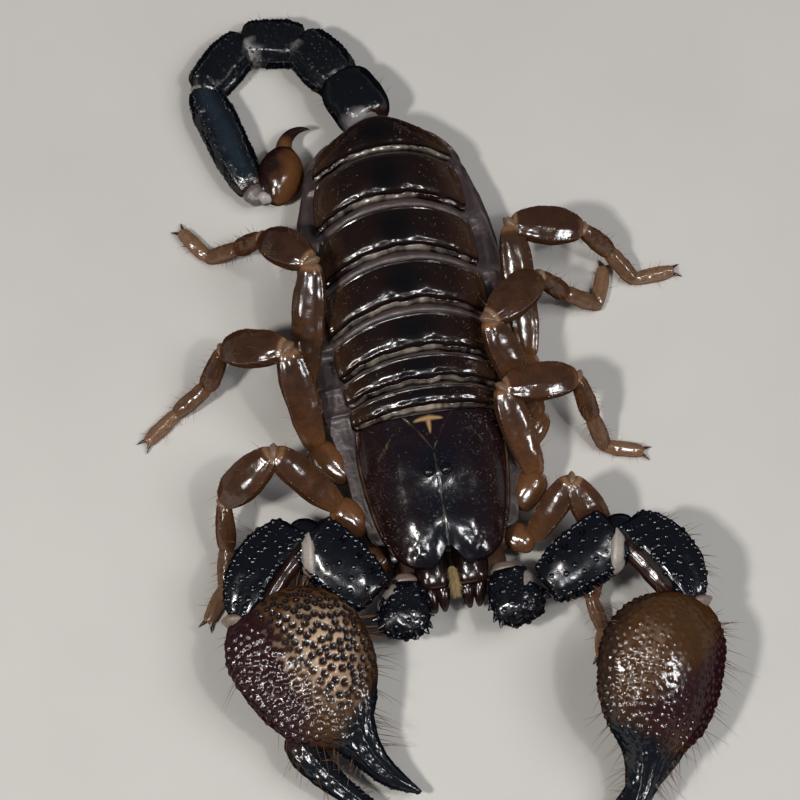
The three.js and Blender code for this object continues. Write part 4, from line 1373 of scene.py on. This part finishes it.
# station along the knob, angle around it and size of its teeth
KNOB_TEETH = [
    (0.55, 0, 1.0), (0.7, 15, 1.1), (0.84, 40, 1.2), (0.92, 85, 1.1), (0.93, 130, 1.2),
    (0.86, 160, 1.1), (0.72, 180, 1.0), (0.5, 185, 0.8), (0.97, 60, 1.0), (0.97, 150, 1.0),
]
# stations along the upper arm of its teeth, by their angle
UPPER_TEETH = {165: (0.1, 0.24, 0.38, 0.52), 60: (0.2, 0.42, 0.66)}
KNOB_ENDS = {"rear": [-0.9, 2.6, -0.5], "front": [0.3, -2.9, 0.1]}
UPPER_HAIRS = (16, 1.3, 0.03)
FORE_HAIRS = (26, 1.6, 0.034)


def arm_angle(arm, angle):
    """Turns an angle of the right arm, 0 outer, 90 top, 180 inner, into that of either arm."""
    return angle if arm["side"] == RIGHT else 180 - angle


def arm_knob(name, arm):
    """The first segment, rough and toothed."""
    rear, front = (arm["knob"] + on_side(KNOB_ENDS[end], arm["side"]) for end in ("rear", "front"))
    t, angle, points = segment(rear, front, **KNOB)
    points = raised(points, 0.3 * lumps(points, 1.5, 4) * fullness(t, 3))
    points = rough_up(points, 0.8, 0.09, 4)
    piece = Piece()
    piece.grid(points, [0.25 * smoothstep(t, 0.6, 0.9), 0, 0.3 * smoothstep(np.sin(angle), 0.3, 1)])
    wanted = ring_normals(points)[..., 2] > -0.2
    grains(piece, points, np.random.default_rng(4), KNOB_GRAINS, [0.1, 0, 0.3], wanted)
    for share, at, size in KNOB_TEETH:
        at = arm_angle(arm, at)
        tooth(piece, points, share, at, [0, -0.6, 0], 0.15, 0.05, 0.85 * size, 0.42 * size)
    piece.build(f"arm_{name}_knob_shell", ARM_LOOK, [f"arm_{name}_knob"])


def arm_upper(name, arm, coat):
    """The second segment, with beaded keels, two rows of teeth and the ball of the elbow."""
    t, angle, points = segment(arm["shoulder"], arm["elbow"], **UPPER_ARM)
    middle = fullness(t, 5)
    keels = [arm_angle(arm, at) for at in (32, 148, -25, 205)]
    points = keeled(points, angle, keels, 9, 0.13 * middle)
    points = raised(points, 0.14 * bell(t - 0.93, 0.035) + 0.12 * lumps(points, 1.6, 5) * middle)
    points = rough_up(points, 0.8, 0.025, 6)
    piece = Piece()
    # a blue-grey tone on the top, partly a painted sheen
    blue_tone_and_sheen = 0.85 * smoothstep(np.sin(angle), 0.1, 0.8) * middle * (0.5 + 0.5 * lumps(points, 1.0, 19))
    piece.grid(points, [0.3 * bell(t, 0.08) + 0.3 * bell(t - 1, 0.06), 0, blue_tone_and_sheen])
    wanted = (ring_normals(points)[..., 2] > -0.3) & (t < 0.92)
    grains(piece, points, np.random.default_rng(6), UPPER_GRAINS, [0, 0, 0.3], wanted)
    for k, at in enumerate(keels):
        row_of_beads(piece, points, at, 0.06, 0.92, 15, 0.3, [0, 0, 0.15], seed=k)
    bend = unit(np.array(arm["wrist"]) - arm["elbow"]) * ELBOW_REACH
    hinge = np.array(arm["elbow"]) - UP * ELBOW_DROP
    piece.grid(segment(hinge - bend, hinge + bend, **ELBOW)[2])
    for at, shares in UPPER_TEETH.items():
        for share in shares:
            tooth(piece, points, share, arm_angle(arm, at), [0, 0, 0.3], 0.1, 0.1, 0.85, 0.36)
    piece.build(f"arm_{name}_upper_shell", ARM_LOOK, [f"arm_{name}_upper"])
    hairs_on(coat, points, UPPER_HAIRS, 400, angles=[arm_angle(arm, 170)], cell=90)


def fore_form(arm):
    """The third segment, with a crest and a rear keel, a groove inside and a dip between."""
    t, angle, points = segment(arm["heel"], arm["wrist"], sway=-arm["side"] * 0.9, **FOREARM)
    crest_keel, rear_keel, groove, dip = (
        keel(angle, arm_angle(arm, at), width) for at, width in ((112, 12), (40, 9), (140, 13), (76, 14))
    )
    middle = fullness(t, 4)
    points = raised(points, (0.3 * crest_keel + 0.14 * rear_keel) * middle)
    points = raised(points, (-0.3 * groove - 0.14 * dip) * middle)
    points = raised(points, 0.12 * bell(t - 0.06, 0.03) + 0.1 * lumps(points, 1.3, 25) * middle)
    return angle, rough_up(points, 0.8, 0.02, 8)


def arm_fore(name, arm, coat):
    angle, points = fore_form(arm)
    around = arm_angle(arm, angle / DEG) % 360
    face = smoothstep(around, 122, 134) * smoothstep(-around, -250, -225)
    crest_at, middle_at, rear_at = (arm_angle(arm, at) for at in (112, 84, 40))
    piece = Piece()
    piece.grid(points, [face, 0, 0.2 * smoothstep(np.cos(angle) * -arm["side"], 0.5, 1.0)])
    row_of_beads(piece, points, crest_at, 0.05, 0.95, 15, 0.36, [0, 0, 0.1], jitter=2.0, seed=2)
    row_of_beads(piece, points, rear_at, 0.05, 0.95, 20, 0.25, [0, 0, 0.2], seed=3)
    row_of_beads(piece, points, middle_at, 0.08, 0.9, 14, 0.3, [0, 0, 0.1], jitter=3.0, seed=4)
    outside = ((around < 105) | (around > 300)) & (ring_normals(points)[..., 2] > -0.4)
    grains(piece, points, np.random.default_rng(8), FORE_GRAINS, [0, 0, 0.25], outside)
    piece.build(f"arm_{name}_fore_shell", ARM_LOOK, [f"arm_{name}_fore"])
    hairs_on(coat, points, FORE_HAIRS, 410, angles=[arm_angle(arm, 20), arm_angle(arm, -10)], cell=91)


# ---------------- pincers
# half widths and height of the palm and its fixed finger, by the distance from the wrist
palm_inner = through([
    [-0.5, 5.9], [1.5, 7.8], [4.5, 9.0], [7, 9.1], [9.4, 8.55], [12, 7.25], [13.4, 6.05],
    [14.4, 4.9], [15.5, 3.6], [17, 2.6], [19, 1.9], [22, 1.88], [24.2, 2.2],
])
palm_outer = through([
    [-0.5, 3.4], [2.3, 4.3], [5, 4.5], [8, 4.7], [10.5, 4.5], [12, 4.1], [13.4, 3.2],
    [14.4, 2.4], [15.5, 1.7], [17, 1.3], [19, 0.95], [22, 0.1], [24.2, -1.4],
])
palm_rise = through([
    [-0.5, 2.6], [2.5, 3.9], [7.5, 4.4], [11.5, 3.9], [13.5, 3.3], [15, 2.6],
    [16.5, 2.1], [19, 1.55], [22, 1.05], [24.2, 0.4],
])
finger_half = spread([1.9, 1.85, 1.5, 1.2, 1.0, 0.75, 0.4])
finger_sway = spread([0, -0.2, -0.3, -0.2, 0.15, 0.8, 1.6])
HINGE_ALONG = 11.4
TIP_RISE = -0.3
PALM_FROM = -0.5
PALM_REACH = 24.7
# the right palm is set with high grains in pits, the left one with low bosses around a smooth middle
PALMS = {
    "right": {"spacing": 0.74, "radius": 0.46, "high": 0.26, "seed": 31, "pitted": 1.0, "smooth": 0.0},
    "left": {"spacing": 0.67, "radius": 0.29, "high": 0.18, "seed": 32, "pitted": 0.0, "smooth": 1.0},
}
PALM_HAIRS = {"count": 100, "rings": (30, 205), "length": (1.2, 3.6), "thick": 0.04}
PALM_HAIR_EDGES = {"right": (2, 165), "left": (175, -5)}
PALM_HAIR_TILES = {"right": 0.5, "left": 0.6}
FINGER_HAIRS = (80, 1.6, 0.032)
FINGER_CELLS = {"right": 92, "left": 93}
TOOTH_RADIUS = {"large": 0.24, "small": 0.13}
# first and last ring, and step, of the teeth
PALM_TEETH = (180, 292, 4)
FINGER_TEETH = (24, 142, 4)


def pincer_frame(arm):
    """Places points along the pincer, towards its inner side and above its middle."""
    plan, side = arm["pincer"], arm["side"]
    axis = heading(plan["bearing"], plan["slope"])
    level = unit(np.cross(axis, UP)) * side
    roll = -side * plan["roll"] * DEG
    inward = level * math.cos(roll) + np.cross(axis, level) * math.sin(roll)
    over = np.cross(inward, axis) * side

    def place(along, inside, rise):
        return moved(np.array(arm["wrist"]), (along, axis), (inside, inward), (rise, over))

    return place


def palm_form(arm):
    """The palm and its fixed finger: distances along, angles and rings of points."""
    placed = pincer_frame(arm)

    def place(t, c, s):
        along = PALM_FROM + PALM_REACH * t
        heel = fullness(np.clip((along + 0.5) / 16.7, 0, 0.5), 3)
        full = heel * fullness(np.clip((along - 13.4) / 10.8, 0.5, 1), 3)
        inner, outer = palm_inner(along), palm_outer(along)
        inside = (inner - outer) / 2 + (inner + outer) / 2 * full * c
        under = np.where(s < 0, 0.72, 1.0)
        return placed(along, inside, palm_rise(along) * full * squared(s, 0.9) * under)

    t, angle, points = rings(place, 300, 220)
    return PALM_FROM + PALM_REACH * t, angle, points


def palm_relief(plan, along, c, s, points, bosses, sunk):
    """Raises bosses or sinks pits on the hand, and ridges and grain on the finger."""
    hand = smoothstep(-along, -16.5, -13.5)
    middle = plan["smooth"] * bell(c + 0.05, 0.62) * bell(along - 6.0, 6.0)
    strong = hand * smoothstep(along, 0.2, 1.2) * (1 - 0.9 * middle) * (1 - 2.0 * sunk)
    shaped = raised(points, plan["high"] * bosses * strong)
    shaped = raised(shaped, 0.05 * lumps(points, 1.5, 12) * hand + 0.022 * lumps(points, 0.3, 13))
    ridges = (bell(c - 0.12, 0.1) + bell(c - 0.62, 0.1) + bell(c + 0.5, 0.1)) * (s > 0)
    shaped = raised(shaped, 0.2 * ridges * smoothstep(along, 9.5, 13.5) * smoothstep(-along, -23, -18))
    finger = smoothstep(along, 12.5, 15.0) * smoothstep(-along, -23, -19)
    shaped = raised(shaped, 0.07 * lumps(points, 0.55, 14) * finger)
    return raised(shaped, 0.12 * bell(c + 0.93, 0.06) * (s > -0.3) * hand)


def palm_marks(name, along, c, s, points, bosses, sunk):
    """Purple towards the outer side and below, blue on the finger and grains, painted shade in the pits of
    the right palm, and a pale painted glare between the bosses.
    """
    finger = smoothstep(along, 10.5, 14.5)
    cloud = lumps(points, 3.0, 17)
    if name == "right":
        red = smoothstep(-c - 0.06 * (along - 6) + 0.15 * cloud, -0.1, 0.55)
        # pale here is a painted glare: the light reflecting in the network between the pits
        pale = bell(c - 0.25, 0.55) * bell(along - 7.5, 4.6) * (1 - smoothstep(bosses, 0.02, 0.25))
        pale = pale * (0.85 + 0.2 * cloud)
    else:
        red = smoothstep(-c + 0.14 * (along - 6.5) + 0.15 * cloud, -0.35, 0.45)
        # a faint painted glare between the bosses of the left palm
        pale = 0.2 * bell(c - 0.55, 0.3) * bell(along - 6.0, 4.5) * (1 - bosses)
    red = np.clip(red + 0.8 * smoothstep(-s, -0.1, 0.3), 0, 1) * (1 - 0.5 * finger)
    blue = np.maximum(finger * smoothstep(along + 1.5 * c, 12.5, 15.5), 0.5 * smoothstep(c, 0.88, 1.0))
    # painted shade: the pits of the right palm darkened towards their middle
    blue = np.maximum(blue, 0.8 * smoothstep(bosses, 0.2, 0.6) * sunk)
    return [red, blue, pale * (s > 0)]


def finger_teeth(piece, points, span, column):
    """Teeth along a finger, every fifth of them large."""
    rows = np.arange(*span)
    size = np.where(np.arange(len(rows)) % 5 == 0, TOOTH_RADIUS["large"], TOOTH_RADIUS["small"])
    piece.beads(points[rows, column], ring_normals(points)[rows, column], size, [0.2, 1, 0])


def palm_hairs(name, points, coat):
    """Bristles along the inner and outer edges of a palm."""
    random = np.random.default_rng(41)
    rows, sides = points.shape[:2]
    count = PALM_HAIRS["count"]
    row = random.integers(*PALM_HAIRS["rings"], count)
    noise = random.normal(0, 10, count)
    edge = np.where(random.uniform(0, 1, count) < 0.7, *PALM_HAIR_EDGES[name])
    column = ring_column(noise + edge, sides)
    forward = unit(np.gradient(points, axis=0))
    direction = ring_normals(points)[row, column] + 0.35 * forward[row, column]
    bake = np.stack([column / sides / 12 + PALM_HAIR_TILES[name], row / rows / 12 + 0.9], -1)
    lengths = random.uniform(*PALM_HAIRS["length"], count)
    coat.bristles(points[row, column], direction, lengths, PALM_HAIRS["thick"], 0.2, 42, bake)


def palm(name, arm, coat):
    plan = PALMS[name]
    along, angle, points = palm_form(arm)
    c, s = np.cos(angle), np.sin(angle)
    flat, normals = points.reshape(-1, 3), ring_normals(points).reshape(-1, 3)
    top = (s > 0.12) | (c > 0.8)
    bossed = top & (along < 17) & (along > 0.4)
    centres = scatter(flat, plan["spacing"], plan["seed"], bossed.reshape(-1))
    bosses = domes(points, flat[centres], plan["radius"])
    sunk = plan["pitted"] * smoothstep(c, -0.4, 0.05) * smoothstep(-along, -15, -12)
    piece = Piece()
    shaped = palm_relief(plan, along, c, s, points, bosses, sunk)
    piece.grid(shaped, palm_marks(name, along, c, s, points, bosses, sunk))
    random = np.random.default_rng(33)
    pits = centres[sunk.reshape(-1)[centres] > 0.55]
    size = random.uniform(0.1, 0.15, len(pits))
    piece.beads(flat[pits] - 0.1 * normals[pits], normals[pits], size, [0.2, 0.6, 0.0])
    bare = top & (along >= 16.5) & (along < 21)
    grains(piece, points, random, [(0.6, 0.05, 0.09, 35)], [0.3, 1, 0], bare)
    finger_teeth(piece, points, PALM_TEETH, points.shape[1] // 2)
    piece.build(f"palm_{name}_shell", PALM_LOOK, [f"pincer_{name}_palm"])
    palm_hairs(name, points, coat)


def finger_form(arm):
    """The moving finger: its stations, angles and rings of points, swung out from its hinge."""
    placed = pincer_frame(arm)
    closing = arm["pincer"]["closing"] * DEG
    hinge_inside, hinge_rise = arm["pincer"]["hinge"]

    def place(t, c, s):
        full = fullness(t, 3)
        half = finger_half(t)
        inside = finger_sway(t) + half * full * c
        out = t * FINGER_LENGTH
        along = HINGE_ALONG + out * math.cos(closing) - inside * math.sin(closing)
        shift = hinge_inside + out * math.sin(closing) + inside * math.cos(closing)
        rise = hinge_rise + (TIP_RISE - hinge_rise) * t
        return placed(along, shift, half * 1.15 * full * s + rise)

    return rings(place, 150, 90)


def moving_finger(name, arm, coat):
    t, angle, points = finger_form(arm)
    c, s = np.cos(angle), np.sin(angle)
    ridges = (bell(c - 0.1, 0.12) + bell(c + 0.65, 0.12)) * (s > 0) * fullness(t, 5)
    piece = Piece()
    shaped = rough_up(raised(points, 0.13 * ridges), 0.6, 0.07, 15)
    piece.grid(shaped, [0.5 * bell(t, 0.12), 1 - 0.5 * bell(t, 0.15)])
    finger_teeth(piece, points, FINGER_TEETH, 0)
    above = (s > 0.1) & (t > 0.05) & (t < 0.7)
    grains(piece, points, np.random.default_rng(16), [(0.6, 0.07, 0.07, 16)], [0.3, 1, 0], above)
    piece.build(f"finger_{name}_shell", PALM_LOOK, [f"pincer_{name}_finger"])
    hairs_on(coat, points, FINGER_HAIRS, 420, cell=FINGER_CELLS[name])


def arm_collars(arm, skin):
    knob, shoulder, elbow, wrist = (np.array(arm[key]) for key in ("knob", "shoulder", "elbow", "wrist"))
    before, after = unit(elbow - shoulder), unit(wrist - elbow)
    within = unit(after - before)
    places = {
        "shoulder": ((knob + shoulder) / 2 + [0, 0.4, -0.35], shoulder - knob),
        "elbow": (elbow + within * 2.0 + UP * 0.4, before + after),
        "wrist": (wrist, after + heading(arm["pincer"]["bearing"])),
        "root": (knob + on_side([-0.8, 2.7, -0.8], arm["side"]), [0, 1, 0]),
    }
    for name, (centre, axis) in places.items():
        collar(skin, centre, axis, **ARM_COLLARS[name])


def arms(skin, coat):
    for name, arm in ARMS.items():
        arm_knob(name, arm)
        arm_upper(name, arm, coat)
        arm_fore(name, arm, coat)
        palm(name, arm, coat)
        moving_finger(name, arm, coat)
        arm_collars(arm, skin)


# ---------------- jaws
JAW = {
    "wide": [2.8, 3.3, 3.4, 3.0], "tall": [2.6, 3.1, 3.1, 2.6],
    "blunt": 5, "square": 0.85, "rows": 60, "sides": 56,
}
JAW_ROOT = [1.9, -21.9, 4.5]
JAW_FRONT = [1.95, -26.9, 4.2]
JAW_FINGER = {"wide": [1.6, 1.3, 0.6], "tall": [1.8, 1.4, 0.7], "arch": 0.2, "rows": 40, "sides": 28}


TUFT = {"count": 420, "y": (-27.9, -25.0), "apart": 0.1, "height": 5.4, "length": (0.5, 1.0), "thick": 0.03}


def jaw(name, side):
    """One of the two jaws, with its pair of short fingers."""
    t, _, points = segment(on_side(JAW_ROOT, side), on_side(JAW_FRONT, side), **JAW)
    piece = Piece()
    piece.grid(rough_up(points, 0.9, 0.04, 21), [smoothstep(t, 0.5, 0.95)])
    for offset in (-0.75, 0.75):
        root = on_side([1.9 + offset, -26, 4.0], side)
        tip = on_side([1.7 + 0.6 * offset, -28.9, 3.0], side)
        piece.grid(segment(root, tip, **JAW_FINGER)[2], [0.6])
    piece.build(f"jaw_{name}", JAW_LOOK, [f"chelicera_{name}"])


def jaw_tuft(tuft):
    """The pale tuft of bristles between the jaws."""
    random = np.random.default_rng(51)
    count = TUFT["count"]
    y = random.uniform(*TUFT["y"], count)
    x = random.normal(0, TUFT["apart"], count)
    roots = stack(x, y, TUFT["height"] + random.uniform(-0.3, 0.2, count))
    direction = stack(np.sign(x) * 0.45, random.normal(-0.8, 0.15, count), 0.35)
    lengths = random.uniform(*TUFT["length"], count) * (0.5 + 0.5 * smoothstep(y, -28.5, -26.5))
    bake = np.stack([0.8 + 0.05 * (x + 1), 0.8 + 0.03 * (y + 29)], -1)
    tuft.bristles(roots, direction, lengths, TUFT["thick"], 0.3, 52, bake)


def jaws(tuft):
    for name, side in SIDES.items():
        jaw(name, side)
    jaw_tuft(tuft)


# ---------------- hips and combs
BREAST = {"wide": [3.6, 4.4, 4.4, 3.6], "tall": [2.4, 2.6, 2.6, 2.4], "rows": 50}
HIP = {"wide": [2.4, 3.4, 3.4], "tall": [2.2, 2.4, 2.2], "blunt": 4, "rows": 50}
MOUTH_LOBE = {"wide": [3.2, 4.2, 3.0], "tall": [2.4, 2.6, 2.4], "rows": 50}
COMB = {"wide": [1.6, 1.5, 0.8], "tall": [0.7, 0.7, 0.6], "rows": 50}
COMB_TOOTH = {"wide": [0.4, 0.42, 0.3], "tall": [0.4, 0.4, 0.25], "rows": 14, "sides": 12}
COMB_TEETH = 16


def hip(piece, pair, side):
    root = on_side(HIP_ROOTS[pair], side)
    end = on_side(HIP_ENDS[pair], side) - [0, 0, 0.5]
    t, _, points = segment(root, end, **HIP)
    piece.grid(rough_up(points, 1.1, 0.05, pair), [0.5 * smoothstep(t, 0.6, 1.0)])


def comb(piece, side):
    """The comb of one side, whose teeth shorten towards its tip."""
    piece.grid(segment(on_side([0.6, -4.6, 1.1], side), on_side([6.6, -4.2, 1.1], side), **COMB)[2], [0.9])
    for share in np.linspace(0.08, 0.95, COMB_TEETH):
        start = on_side([0.6 + 6.0 * share, -4.3 + 0.2 * share, 0.95], side)
        tip = start + on_side([0.25, 1.35 - 0.5 * share, -0.3], side)
        piece.grid(segment(start, tip, **COMB_TOOTH)[2], [1.0])


def hips():
    piece = Piece()
    piece.grid(segment([0, -22.8, 1.9], [0, -4.0, 1.9], **BREAST)[2], [0.3])
    for side in (RIGHT, LEFT):
        for pair in HIP_ROOTS:
            hip(piece, pair, side)
        lobe_ends = on_side([2.4, -20.8, 2.2], side), on_side([4.4, -26.4, 2.6], side)
        piece.grid(segment(*lobe_ends, **MOUTH_LOBE)[2], [0.4])
        comb(piece, side)
    piece.build("hips_and_comb_shells", HIP_LOOK, ["hips_and_combs"])


# ---------------- floor and world
FLOOR_HALF = 1.2  # metres
SKY = {"colour": (0.9, 0.95, 1.0, 1), "strength": 0.05}


def make_floor():
    corners = [(x * FLOOR_HALF, y * FLOOR_HALF, 0) for x, y in ((-1, -1), (1, -1), (1, 1), (-1, 1))]
    ground = bpy.data.meshes.new("floor")
    ground.from_pydata(corners, [], [(0, 1, 2, 3)])
    ground.materials.append(FLOOR_LOOK)
    new_object("floor", ground)


def make_world():
    world = bpy.data.worlds.new("studio")
    world.use_nodes = True
    background = world.node_tree.nodes["Background"]
    background.inputs["Color"].default_value = SKY["colour"]
    background.inputs["Strength"].default_value = SKY["strength"]
    bpy.context.scene.world = world


# ---------------- assembly
back()
belly()
skin = Piece()
coat = Piece()
tuft = Piece()
trunk(skin)
tail(skin, coat)
legs(skin, coat)
arms(skin, coat)
jaws(tuft)
hips()
skin.build("skin", SKIN_LOOK, ["trunk_skin"])
coat.build("coat_bristles", HAIR_LOOK, with_bake=True)
tuft.build("coat_jaw_tuft", TUFT_LOOK, with_bake=True)
make_floor()
make_world()
